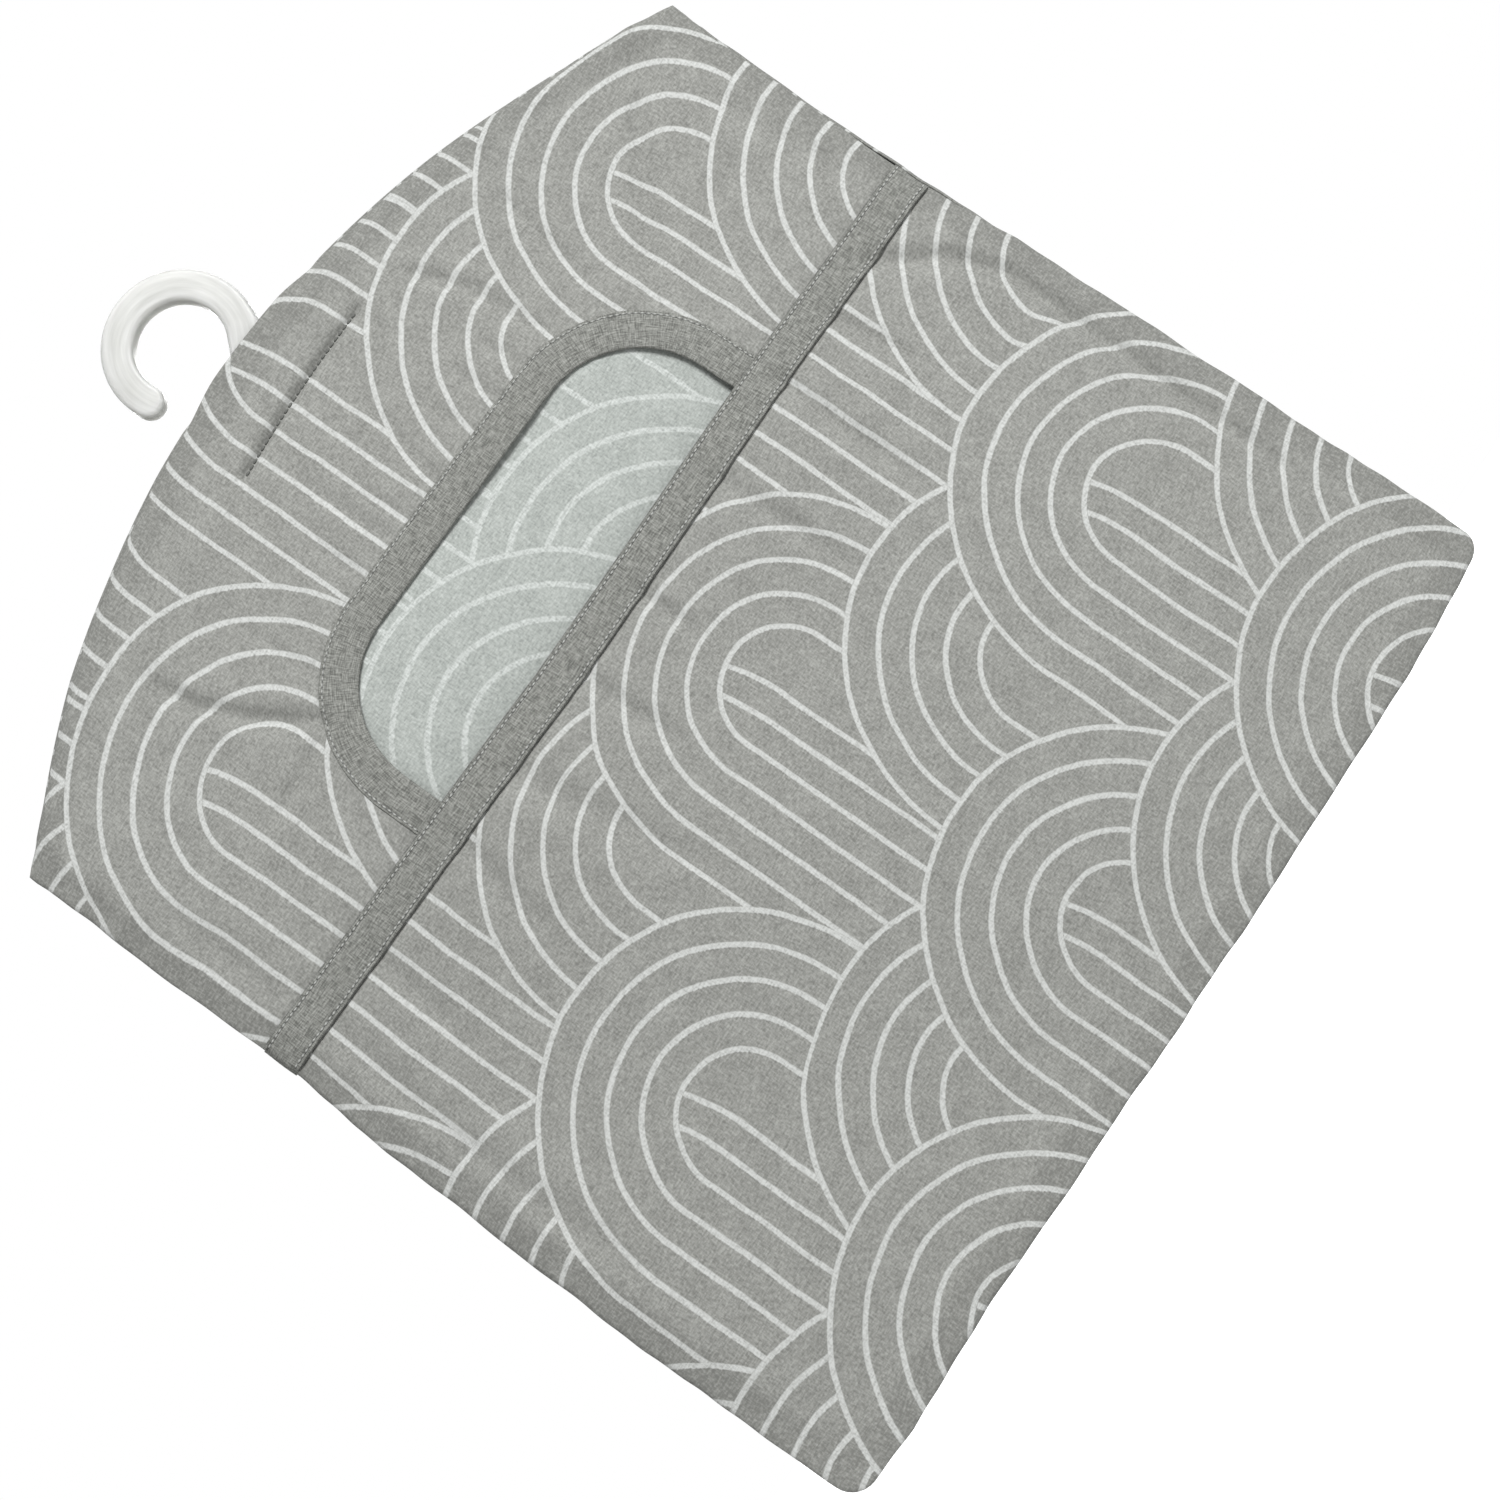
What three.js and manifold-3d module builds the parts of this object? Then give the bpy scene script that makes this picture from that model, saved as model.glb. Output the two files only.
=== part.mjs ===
// A sewn cotton peg bag that hangs on a small moulded coat hanger.
// Millimetres. The part stands upright: +Z is up, the front faces -Y, and the origin is the hook's inner crown,
// the point that a washing line or a rail bears on.
// The shapes are drawn in a flat frame: x to the right, y up, z towards the viewer. Its origin is the middle of
// the line between the shoulders, in the hanger's middle plane.

import * as THREE from 'three';
import { mergeVertices } from 'three/addons/utils/BufferGeometryUtils.js';
import Module from 'manifold-3d';

const wasm = await Module();
wasm.setup();
const { smoothstep, degToRad } = THREE.MathUtils;

// Driving sizes of the bag
const BAG_WIDTH = 330;
const SIDE_HEIGHT = 300;
const TOP_RISE = 44.5;
const BOTTOM_CORNER_RADIUS = 7;
const CLOTH = 0.5;
const TAPE = 0.5;
const THREAD = 0.6;
const CLEARANCE = 0.3;

// The hand opening, its binding and the band across the bag
const SCOOP_WIDTH = 150;
const SCOOP_HEIGHT = 44;
const SCOOP_RADIUS = 32;
const BINDING_WIDTH = 12;
const BAND_TOP = -87;
const BAND_HEIGHT = 11.3;
const TUCK = 10;
const STITCH_INSET = 1.5;

// The row that keeps the hanger up in the top of the bag
const STAY_DEPTH = 23.5;
const STAY_LENGTH = 60;
const PINCH_REACH = 5;

// How the cloth swells from its seams
const TOP_ROLL = 7;
const SIDE_ROLL = 14;
const BOTTOM_ROLL = 60;
const BELLY = 6;
const BELLY_START = 32;
const BELLY_TOP = 150;
const BELLY_SIDE = 120;
const BELLY_BOTTOM = 140;
const LIFT_FADE = 60;
const SEAM_INSET = 1.2;

// The hanger: a flat hook of even width, a flared neck and two arms of I section
const HANGER_DEPTH = 6;
const HANGER_BEVEL = 1.5;
const HOOK_CENTRE_X = -9;
const HOOK_RISE = 15;
const HOOK_INNER_RADIUS = 14.5;
const HOOK_WIDTH = 10;
const HOOK_TIP_ANGLE = 187;
const NECK_INNER_ANGLE = -43;
const NECK_OUTER_ANGLE = -21;
const NECK_FILLET = 6;
const ARM_TOP_GAP = 5.5;
const ARM_HEIGHT = 10;
const ARM_END_GAP = 15;
const RIM = 2.2;
const RECESS_DEPTH = 1.7;
const RECESS_START = 18;
const RECESSES_PER_ARM = 5;
const RIB = 1.6;

// The gap in the top seam that the neck passes through
const NECK_CENTRE_X = 4;
const NECK_GAP = 28;
const NECK_FADE = 20;

// Working values
const RIGID_FACET = 0.05;
const CLOTH_FACET = 0.1;
const FILLET_STEPS = 5;
const BEVEL_STEPS = 2;
const THREAD_SIDES = 6;
const THREAD_PITCH = 14;
const LEAST_GRID_STEP = 1;

// Sizes that follow from the driving ones
const halfWidth = BAG_WIDTH / 2;
const topRadius = (halfWidth ** 2 + TOP_RISE ** 2) / (2 * TOP_RISE);
const topCentreY = TOP_RISE - topRadius;
const bandBottom = BAND_TOP - BAND_HEIGHT;
const scoopTop = BAND_TOP + SCOOP_HEIGHT;
const scoopBindingTop = scoopTop + BINDING_WIDTH;
const tuckBottom = BAND_TOP - TUCK;
const stayY = TOP_RISE - STAY_DEPTH;
const stayHalf = STAY_LENGTH / 2;
const seamHalfGap = THREAD / 2 + CLEARANCE;
const pinchHalfGap = CLEARANCE / 2;
const hangerHalfGap = HANGER_DEPTH / 2 + CLEARANCE;
const bandStack = CLOTH + 2 * TAPE + 3 * CLEARANCE;
const hookCentreY = TOP_RISE + HOOK_RISE;
const hookOuterRadius = HOOK_INNER_RADIUS + HOOK_WIDTH;
const armTopRadius = topRadius - ARM_TOP_GAP;
const armBottomRadius = armTopRadius - ARM_HEIGHT;
const crown = new THREE.Vector3(HOOK_CENTRE_X, hookCentreY + HOOK_INNER_RADIUS, 0);
const overhang = BINDING_WIDTH / 4;
const cutterReach = hangerHalfGap + BELLY + bandStack + BINDING_WIDTH;

// Materials

const printedCotton = new THREE.MeshStandardMaterial({ color: '#a3a6a0', roughness: 0.95, metalness: 0 });
const plainTape = new THREE.MeshStandardMaterial({ color: '#969892', roughness: 0.95, metalness: 0 });
const greyThread = new THREE.MeshStandardMaterial({ color: '#8a8c87', roughness: 0.9, metalness: 0 });
const milkyPlastic = new THREE.MeshStandardMaterial({ color: '#e3e3e1', roughness: 0.4, metalness: 0 });

// Solids and meshes

function solidOf(geometry) {
  geometry.deleteAttribute('normal');
  geometry.deleteAttribute('uv');
  const merged = mergeVertices(geometry, 1e-5);
  return new wasm.Manifold(new wasm.Mesh({
    numProp: 3,
    vertProperties: new Float32Array(merged.attributes.position.array),
    triVerts: new Uint32Array(merged.index.array),
  }));
}

function meshOf(name, solid, material) {
  const { vertProperties, triVerts } = solid.getMesh();
  const geometry = new THREE.BufferGeometry();
  geometry.setAttribute('position', new THREE.BufferAttribute(vertProperties, 3));
  geometry.setIndex(new THREE.BufferAttribute(triVerts, 1));
  geometry.computeVertexNormals();
  const mesh = new THREE.Mesh(geometry, material);
  mesh.name = name;
  return mesh;
}

const pointAt = (x, y, radius, angle) =>
  new THREE.Vector2(x + radius * Math.cos(angle), y + radius * Math.sin(angle));

// Points of an arc whose chords lie within a facet depth of the true curve
function arc(x, y, radius, from, to, facet = CLOTH_FACET) {
  const step = 2 * Math.acos(1 - facet / radius);
  const steps = Math.max(2, Math.ceil(Math.abs(to - from) / step));
  return Array.from({ length: steps + 1 }, (_, i) => pointAt(x, y, radius, from + ((to - from) * i) / steps));
}

// A shape through points, without the doubled points where two stretches meet
function shapeOf(points) {
  return new THREE.Shape(points.filter((p, i) => i === 0 || p.distanceTo(points[i - 1]) > 1e-6));
}

function slab(shape, depth, z) {
  const geometry = new THREE.ExtrudeGeometry(shape, { depth, bevelEnabled: false });
  geometry.translate(0, 0, z);
  return solidOf(geometry);
}

// A plan shape carried through the whole depth of the bag
const prism = (points) => slab(shapeOf(points), 2 * cutterReach, -cutterReach);

function rectangle(low, high) {
  return [
    new THREE.Vector2(-halfWidth, low),
    new THREE.Vector2(halfWidth, low),
    new THREE.Vector2(halfWidth, high),
    new THREE.Vector2(-halfWidth, high),
  ];
}

// How far the inner faces of the cloth lie from the middle plane

const topY = (x) => topCentreY + Math.sqrt(topRadius ** 2 - x ** 2);
const belowTop = (x, y) => topY(x) - y;
const fromSide = (x) => halfWidth - Math.abs(x);
const aboveBottom = (y) => y + SIDE_HEIGHT;

// A grid row that follows the arched top edge at the top and is level from the hand opening down
function rowY(x, centreY) {
  const rolled = TOP_RISE - TOP_ROLL;
  const share = THREE.MathUtils.clamp((centreY - scoopBindingTop) / (rolled - scoopBindingTop), 0, 1);
  return centreY + (topY(x) - TOP_RISE) * share;
}

function fromStayRow(x, y) {
  const past = Math.max(0, Math.abs(x) - stayHalf);
  return Math.hypot(past, y - rowY(x, stayY));
}

function halfGap(x, y) {
  const neck = 1 - smoothstep(Math.abs(x - NECK_CENTRE_X), NECK_GAP / 2, NECK_GAP / 2 + NECK_FADE);
  const top = Math.max(neck, smoothstep(belowTop(x, y), 0, TOP_ROLL));
  const side = smoothstep(fromSide(x), 0, SIDE_ROLL);
  const bottom = smoothstep(aboveBottom(y), 0, BOTTOM_ROLL);
  const open = seamHalfGap + (hangerHalfGap - seamHalfGap) * top * side * bottom;
  return pinchHalfGap + (open - pinchHalfGap) * smoothstep(fromStayRow(x, y), 0, PINCH_REACH);
}

function belly(x, y) {
  const top = smoothstep(belowTop(x, y), BELLY_START, BELLY_TOP);
  return BELLY * top * smoothstep(fromSide(x), 0, BELLY_SIDE) * smoothstep(aboveBottom(y), 0, BELLY_BOTTOM);
}

const backInner = (x, y) => -halfGap(x, y);
const frontInner = (x, y) => halfGap(x, y) + belly(x, y);
const pocketLift = (y) => bandStack * (1 - smoothstep(bandBottom - y, 0, LIFT_FADE));
const pocketInner = (x, y) => frontInner(x, y) + pocketLift(y);
const raised = (surface, by) => (x, y) => surface(x, y) + by;

// One grid serves every layer of cloth, so that layers lie parallel

function gridLines(values) {
  const sorted = [...values].sort((a, b) => a - b);
  return sorted.filter((value, i) => i === 0 || value - sorted[i - 1] > LEAST_GRID_STEP);
}

const scoopHalf = SCOOP_WIDTH / 2;
const roll = [0, 0.3, 0.6, 1];
const sideLines = [
  halfWidth + overhang,
  ...roll.map((share) => halfWidth - share * SIDE_ROLL),
  (halfWidth - SIDE_ROLL + scoopHalf + BINDING_WIDTH) / 2,
  scoopHalf + BINDING_WIDTH,
  scoopHalf,
  halfWidth - BELLY_SIDE,
];
const neckLines = [-NECK_GAP / 2 - NECK_FADE / 2, -NECK_GAP / 2, NECK_GAP / 2, NECK_GAP / 2 + NECK_FADE / 2];
const stayLines = [stayHalf, stayHalf + PINCH_REACH];
const mirrored = (values) => [...values, ...values.map((x) => -x)];
const pocketColumns = gridLines(mirrored(sideLines));
const yokeColumns = gridLines([
  ...mirrored([...sideLines, ...stayLines]),
  ...neckLines.map((x) => NECK_CENTRE_X + x),
]);

const yokeRows = gridLines([
  TOP_RISE + overhang,
  ...roll.map((share) => TOP_RISE - share * TOP_ROLL),
  ...[1, 0.5, 0, -0.5, -1].map((share) => stayY + share * PINCH_REACH),
  (stayY + scoopBindingTop) / 2,
  scoopBindingTop,
  scoopTop,
  (scoopTop + BAND_TOP) / 2,
  BAND_TOP,
  bandBottom,
]);
const bellyRows = [0.25, 0.5, 0.75].map((share) => bandBottom - share * (SIDE_HEIGHT + bandBottom - BOTTOM_ROLL));
const bottomRows = [1, 0.75, 0.5, 0.25, 0.1, 0].map((share) => share * BOTTOM_ROLL - SIDE_HEIGHT);
const pocketRows = gridLines([
  BAND_TOP,
  bandBottom,
  bandBottom - LIFT_FADE / 2,
  ...bellyRows,
  ...bottomRows,
  -SIDE_HEIGHT - overhang,
]);
const allRows = gridLines([...yokeRows, ...pocketRows]);

// A closed sheet between two surfaces over the grid
function sheet(low, high, columns, rows) {
  const wide = columns.length;
  const layer = wide * rows.length;
  const positions = [];
  for (const surface of [low, high]) {
    for (const centreY of rows) {
      for (const x of columns) {
        const y = rowY(x, centreY);
        positions.push(x, y, surface(x, y));
      }
    }
  }
  const index = [];
  const quad = (a, b, c, d) => index.push(a, b, c, a, c, d);
  for (let r = 0; r + 1 < rows.length; r += 1) {
    for (let c = 0; c + 1 < wide; c += 1) {
      const a = r * wide + c;
      quad(a, a + wide, a + wide + 1, a + 1);
      quad(layer + a, layer + a + 1, layer + a + wide + 1, layer + a + wide);
    }
    const left = r * wide;
    const right = left + wide - 1;
    quad(left, layer + left, layer + left + wide, left + wide);
    quad(right, right + wide, layer + right + wide, layer + right);
  }
  for (let c = 0; c + 1 < wide; c += 1) {
    const top = layer - wide + c;
    quad(c, c + 1, layer + c + 1, layer + c);
    quad(top, layer + top, layer + top + 1, top + 1);
  }
  const geometry = new THREE.BufferGeometry();
  geometry.setAttribute('position', new THREE.Float32BufferAttribute(positions, 3));
  geometry.setIndex(index);
  return solidOf(geometry);
}

// Plan outlines

const quarter = Math.PI / 2;

function bagOutline() {
  const reach = Math.asin(halfWidth / topRadius);
  const r = BOTTOM_CORNER_RADIUS;
  return [
    ...arc(0, topCentreY, topRadius, quarter - reach, quarter + reach),
    ...arc(r - halfWidth, r - SIDE_HEIGHT, r, 2 * quarter, 3 * quarter),
    ...arc(halfWidth - r, r - SIDE_HEIGHT, r, 3 * quarter, 4 * quarter),
  ];
}

// The hand opening grown by an offset, down to a given height
function scoopOutline(offset, low) {
  const half = scoopHalf + offset;
  const radius = SCOOP_RADIUS + offset;
  const arcY = scoopTop - SCOOP_RADIUS;
  const arcX = half - radius;
  return [
    new THREE.Vector2(half, low),
    ...arc(arcX, arcY, radius, 0, quarter),
    ...arc(-arcX, arcY, radius, quarter, 2 * quarter),
    new THREE.Vector2(-half, low),
  ];
}

const scoopPrism = (offset, low) => prism(scoopOutline(offset, low));
const wholeBag = prism(bagOutline());
const belowScoop = bandBottom - overhang;

// Cloth panels

function makeBackPanel() {
  return sheet(raised(backInner, -CLOTH), backInner, yokeColumns, allRows).intersect(wholeBag);
}

function makeFrontYoke() {
  return sheet(frontInner, raised(frontInner, CLOTH), yokeColumns, yokeRows)
    .intersect(wholeBag)
    .intersect(prism(rectangle(tuckBottom, TOP_RISE + overhang)))
    .subtract(scoopPrism(TAPE + CLEARANCE, belowScoop));
}

function makeFrontPocket() {
  return sheet(pocketInner, raised(pocketInner, CLOTH), pocketColumns, pocketRows)
    .intersect(wholeBag)
    .intersect(prism(rectangle(-SIDE_HEIGHT - overhang, BAND_TOP - TAPE - CLEARANCE)));
}

// A strip folded over a raw edge: an envelope with a slot that the cloth sits in
function foldedStrip(surface, columns, rows, plan, slotPlan) {
  const outerLow = raised(surface, -CLEARANCE - TAPE);
  const outerHigh = raised(surface, CLOTH + CLEARANCE + TAPE);
  const slotLow = raised(surface, -CLEARANCE);
  const slotHigh = raised(surface, CLOTH + CLEARANCE);
  const slot = sheet(slotLow, slotHigh, columns, rows).intersect(slotPlan);
  return sheet(outerLow, outerHigh, columns, rows).intersect(plan).subtract(slot);
}

function makeScoopBinding() {
  const plan = scoopPrism(BINDING_WIDTH, tuckBottom).subtract(scoopPrism(0, belowScoop));
  const slotPlan = scoopPrism(BINDING_WIDTH + overhang, belowScoop).subtract(scoopPrism(TAPE, belowScoop));
  return foldedStrip(frontInner, yokeColumns, yokeRows, plan, slotPlan);
}

function makeCrossBand() {
  const plan = prism(rectangle(bandBottom, BAND_TOP));
  const slotPlan = prism(rectangle(bandBottom - overhang, BAND_TOP - TAPE));
  return foldedStrip(pocketInner, pocketColumns, allRows, plan, slotPlan);
}

// Sewing thread: each row is one tube that lies on its surface

function threadAlong(points) {
  const section = shapeOf(Array.from({ length: THREAD_SIDES }, (_, i) =>
    pointAt(0, 0, THREAD / 2, (i * 4 * quarter) / THREAD_SIDES)));
  const geometry = new THREE.ExtrudeGeometry(section, {
    steps: points.length - 1,
    extrudePath: new THREE.CatmullRomCurve3(points),
  });
  return solidOf(geometry);
}

// A row along plan points, with a step about every pitch, lying on a surface
function threadOn(surface, plan, pitch) {
  const lie = CLEARANCE + THREAD / 2;
  const path = new THREE.Path(plan);
  const points = path.getSpacedPoints(Math.ceil(path.getLength() / pitch));
  return threadAlong(points.map(({ x, y }) => new THREE.Vector3(x, y, surface(x, y) + lie)));
}

const middlePlane = () => -CLEARANCE - THREAD / 2;
const bandFace = raised(pocketInner, CLOTH + CLEARANCE + TAPE);
const bindingFace = raised(frontInner, CLOTH + CLEARANCE + TAPE);
const yokeFace = raised(frontInner, CLOTH);

function makeBandStitching(y) {
  const reach = halfWidth - STITCH_INSET;
  return threadOn(bandFace, [new THREE.Vector2(-reach, y), new THREE.Vector2(reach, y)], THREAD_PITCH);
}

function makeScoopStitching() {
  const low = BAND_TOP + CLEARANCE;
  return threadOn(bindingFace, scoopOutline(BINDING_WIDTH - STITCH_INSET, low), THREAD_PITCH / 2);
}

function makeStayStitching() {
  const ends = [-stayHalf, 0, stayHalf].map((x) => new THREE.Vector2(x, rowY(x, stayY)));
  return threadOn(yokeFace, ends, THREAD_PITCH / 2);
}

function makePerimeterStitching() {
  const half = halfWidth - SEAM_INSET;
  const low = SEAM_INSET - SIDE_HEIGHT;
  const radius = topRadius - SEAM_INSET;
  const corner = BOTTOM_CORNER_RADIUS - SEAM_INSET;
  const angleAt = (x) => Math.acos(x / radius);
  const neckEdge = NECK_GAP / 2 + NECK_FADE;
  const plan = [
    ...arc(0, topCentreY, radius, angleAt(NECK_CENTRE_X - neckEdge), angleAt(-half)),
    ...arc(corner - half, low + corner, corner, 2 * quarter, 3 * quarter),
    ...arc(half - corner, low + corner, corner, 3 * quarter, 4 * quarter),
    ...arc(0, topCentreY, radius, angleAt(half), angleAt(NECK_CENTRE_X + neckEdge)),
  ];
  return threadOn(middlePlane, plan, THREAD_PITCH);
}

// The hanger

// The line that leaves the hook at an angle, the corner where it meets the arms' top, and the fillet there
function neckFillet(radius, angle, side) {
  const start = pointAt(HOOK_CENTRE_X, hookCentreY, radius, angle);
  const down = new THREE.Vector2(Math.sin(angle), -Math.cos(angle));
  const drop = (start.y - (topCentreY + armTopRadius)) / -down.y;
  const corner = start.clone().addScaledVector(down, drop);
  const lineEnd = corner.clone().addScaledVector(down, -NECK_FILLET);
  const armAngle = Math.acos((corner.x + side * NECK_FILLET) / armTopRadius);
  const armEnd = pointAt(0, topCentreY, armTopRadius, armAngle);
  const curve = new THREE.QuadraticBezierCurve(lineEnd, corner, armEnd).getPoints(FILLET_STEPS);
  return { curve, armAngle };
}

const armEndRadius = ARM_HEIGHT / 2;
const armMiddleRadius = armTopRadius - armEndRadius;
const armEndAngle = Math.acos((halfWidth - ARM_END_GAP - armEndRadius) / armMiddleRadius);

function hangerOutline() {
  const rigidArc = (...sizes) => arc(...sizes, RIGID_FACET);
  const end = pointAt(0, topCentreY, armMiddleRadius, armEndAngle);
  const tipAngle = degToRad(HOOK_TIP_ANGLE);
  const innerAngle = degToRad(NECK_INNER_ANGLE);
  const outerAngle = degToRad(NECK_OUTER_ANGLE);
  const tip = pointAt(HOOK_CENTRE_X, hookCentreY, HOOK_INNER_RADIUS + HOOK_WIDTH / 2, tipAngle);
  const left = neckFillet(HOOK_INNER_RADIUS, innerAngle, -1);
  const right = neckFillet(hookOuterRadius, outerAngle, 1);
  const leftEndAngle = Math.PI - armEndAngle;
  const points = [
    ...rigidArc(0, topCentreY, armTopRadius, right.armAngle, armEndAngle),
    ...rigidArc(end.x, end.y, armEndRadius, armEndAngle, armEndAngle - Math.PI),
    ...rigidArc(0, topCentreY, armBottomRadius, armEndAngle, leftEndAngle),
    ...rigidArc(-end.x, end.y, armEndRadius, leftEndAngle + Math.PI, leftEndAngle),
    ...rigidArc(0, topCentreY, armTopRadius, leftEndAngle, left.armAngle),
    ...left.curve.toReversed(),
    ...rigidArc(HOOK_CENTRE_X, hookCentreY, HOOK_INNER_RADIUS, innerAngle, tipAngle),
    ...rigidArc(tip.x, tip.y, HOOK_WIDTH / 2, tipAngle + Math.PI, tipAngle),
    ...rigidArc(HOOK_CENTRE_X, hookCentreY, hookOuterRadius, tipAngle, outerAngle),
    ...right.curve.slice(0, -1),
  ];
  return shapeOf(points);
}

// The hollows between the rims and ribs of both arms, on both faces
function recessCutters() {
  const outer = armTopRadius - RIM;
  const inner = armBottomRadius + RIM;
  const startAngle = Math.acos(RECESS_START / outer);
  const ribAngle = RIB / outer;
  const pitch = (startAngle - armEndAngle + ribAngle) / RECESSES_PER_ARM;
  const cutters = [];
  for (let i = 0; i < RECESSES_PER_ARM; i += 1) {
    const high = startAngle - i * pitch;
    const low = high - pitch + ribAngle;
    for (const [from, to] of [[low, high], [Math.PI - high, Math.PI - low]]) {
      const shape = shapeOf([
        ...arc(0, topCentreY, outer, from, to),
        ...arc(0, topCentreY, inner, to, from),
      ]);
      cutters.push(slab(shape, 2 * RECESS_DEPTH, HANGER_DEPTH / 2 - RECESS_DEPTH));
      cutters.push(slab(shape, 2 * RECESS_DEPTH, -HANGER_DEPTH / 2 - RECESS_DEPTH));
    }
  }
  return cutters;
}

function makeHanger() {
  const depth = HANGER_DEPTH - 2 * HANGER_BEVEL;
  const geometry = new THREE.ExtrudeGeometry(hangerOutline(), {
    depth,
    bevelThickness: HANGER_BEVEL,
    bevelSize: HANGER_BEVEL,
    bevelOffset: -HANGER_BEVEL,
    bevelSegments: BEVEL_STEPS,
  });
  geometry.translate(0, 0, -depth / 2);
  return recessCutters().reduce((solid, cutter) => solid.subtract(cutter), solidOf(geometry));
}

// The assembly: flat shapes, moved so that the hook's crown is the origin, then stood upright

const flat = new THREE.Group();
flat.position.copy(crown).negate();
flat.add(
  meshOf('hanger', makeHanger(), milkyPlastic),
  meshOf('back_panel', makeBackPanel(), printedCotton),
  meshOf('front_yoke', makeFrontYoke(), printedCotton),
  meshOf('front_pocket', makeFrontPocket(), printedCotton),
  meshOf('scoop_binding', makeScoopBinding(), plainTape),
  meshOf('cross_band', makeCrossBand(), plainTape),
  meshOf('perimeter_seam_stitching', makePerimeterStitching(), greyThread),
  meshOf('hanger_stay_stitching', makeStayStitching(), greyThread),
  meshOf('scoop_stitching', makeScoopStitching(), greyThread),
  meshOf('band_upper_stitching', makeBandStitching(BAND_TOP - STITCH_INSET), greyThread),
  meshOf('band_lower_stitching', makeBandStitching(bandBottom + STITCH_INSET), greyThread),
);
const upright = new THREE.Group();
upright.rotation.x = Math.PI / 2;
upright.add(flat);

const pegBag = new THREE.Group();
pegBag.add(upright);

export default pegBag;
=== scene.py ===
# %% [markdown]
# A cotton peg bag for the washing line
# The real bag is printed cotton, sewn front to back, and a small plastic coat hanger keeps its top spread.
# The CAD model is the frame: it says where each piece lies and how the bag slips on the hanger. Blender adds
# the rolls and creases of the cloth, its print, the bound edges and the stitches.

# %% Load the frame
import math
from functools import partial

import bpy
import numpy as np
from mathutils import Matrix, Vector


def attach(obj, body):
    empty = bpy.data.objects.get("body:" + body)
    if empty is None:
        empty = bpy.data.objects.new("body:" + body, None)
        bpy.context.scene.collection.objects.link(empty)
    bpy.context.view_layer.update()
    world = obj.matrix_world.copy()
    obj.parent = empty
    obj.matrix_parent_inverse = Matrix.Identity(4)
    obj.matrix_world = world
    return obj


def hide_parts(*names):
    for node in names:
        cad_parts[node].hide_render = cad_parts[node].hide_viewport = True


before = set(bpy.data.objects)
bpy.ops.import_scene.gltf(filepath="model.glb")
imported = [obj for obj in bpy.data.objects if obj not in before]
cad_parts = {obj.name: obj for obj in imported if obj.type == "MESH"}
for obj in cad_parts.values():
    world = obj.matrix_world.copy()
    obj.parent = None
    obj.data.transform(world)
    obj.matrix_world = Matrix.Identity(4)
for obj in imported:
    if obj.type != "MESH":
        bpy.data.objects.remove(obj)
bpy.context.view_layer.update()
print("pieces in the frame:", ", ".join(sorted(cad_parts)))

# %% [markdown]
# The camera
# The photograph looks almost straight at the front, and the bag lies turned in the picture. The bag hangs
# upright here, so the camera turns instead. Its place and axes come from the bag's four corners there.

# %% Place the camera
CAMERA_PLACE = Vector((-0.06344, -0.63425, -0.30004))
CAMERA_RIGHT = Vector((0.57888, 0.03625, -0.81461))
CAMERA_UP = Vector((0.80962, -0.14439, 0.56891))
LENS, SENSOR = 52.46, 36

bpy.ops.object.camera_add()
camera = bpy.context.object
camera.name = "photo_camera"
turn = Matrix((CAMERA_RIGHT, CAMERA_UP, CAMERA_RIGHT.cross(CAMERA_UP))).transposed()
camera.matrix_world = Matrix.Translation(CAMERA_PLACE) @ turn.to_4x4()
camera.data.lens = LENS
camera.data.sensor_width = SENSOR
bpy.context.scene.camera = camera
print("camera stands", round(CAMERA_PLACE.length, 3), "m from the hook")

# %% [markdown]
# Node helpers
# Materials are small sums of nodes. A helper makes one maths node and links or sets its inputs, so that a
# formula reads from left to right in the code as it would on paper.


# %% Short ways to add nodes
def feed(tree, socket, value):
    if isinstance(value, bpy.types.NodeSocket):
        tree.links.new(value, socket)
    else:
        socket.default_value = value


def added(tree, kind, **inputs):
    node = tree.nodes.new("ShaderNode" + kind)
    for name, value in inputs.items():
        feed(tree, node.inputs[name], value)
    return node


def maths(tree, operation, *values, clamp=False):
    node = added(tree, "Math")
    node.operation = operation
    node.use_clamp = clamp
    for socket, value in zip(node.inputs, values):
        feed(tree, socket, value)
    return node.outputs[0]


def noise(tree, vector, scale, detail, output="Fac"):
    return added(tree, "TexNoise", Vector=vector, Scale=scale, Detail=detail).outputs[output]


def stretched(tree, vector, scale, turn=0.0):
    return added(tree, "Mapping", Vector=vector, Scale=scale, Rotation=(0, 0, turn)).outputs[0]


def axes_of(tree, vector):
    return added(tree, "SeparateXYZ", Vector=vector).outputs


def mark_of(tree, name):
    node = added(tree, "Attribute")
    node.attribute_name = name
    return node.outputs["Fac"]


def mixed(tree, share, first, second):
    node = added(tree, "Mix")
    node.data_type = "RGBA"
    for i, value in ((0, share), (6, first), (7, second)):
        feed(tree, node.inputs[i], value)
    return node.outputs[2]


def bump(tree, height, strength, distance):
    return added(tree, "Bump", Height=height, Strength=strength, Distance=distance).outputs[0]


def cut_millimetres(tree):
    """The piece's place in the cloth it was cut from, in millimetres, from its UV map."""
    uv = added(tree, "UVMap")
    uv.uv_map = "cut"
    scaled = added(tree, "VectorMath")
    scaled.operation = "SCALE"
    feed(tree, scaled.inputs[0], uv.outputs[0])
    feed(tree, scaled.inputs["Scale"], 1000)
    return scaled.outputs[0]


def brighter_to_camera(tree, extra, base):
    """A value that is base for the light in the room, and as much more as extra where the camera looks."""
    return maths(tree, "MULTIPLY_ADD", added(tree, "LightPath").outputs["Is Camera Ray"], extra, base)


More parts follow.
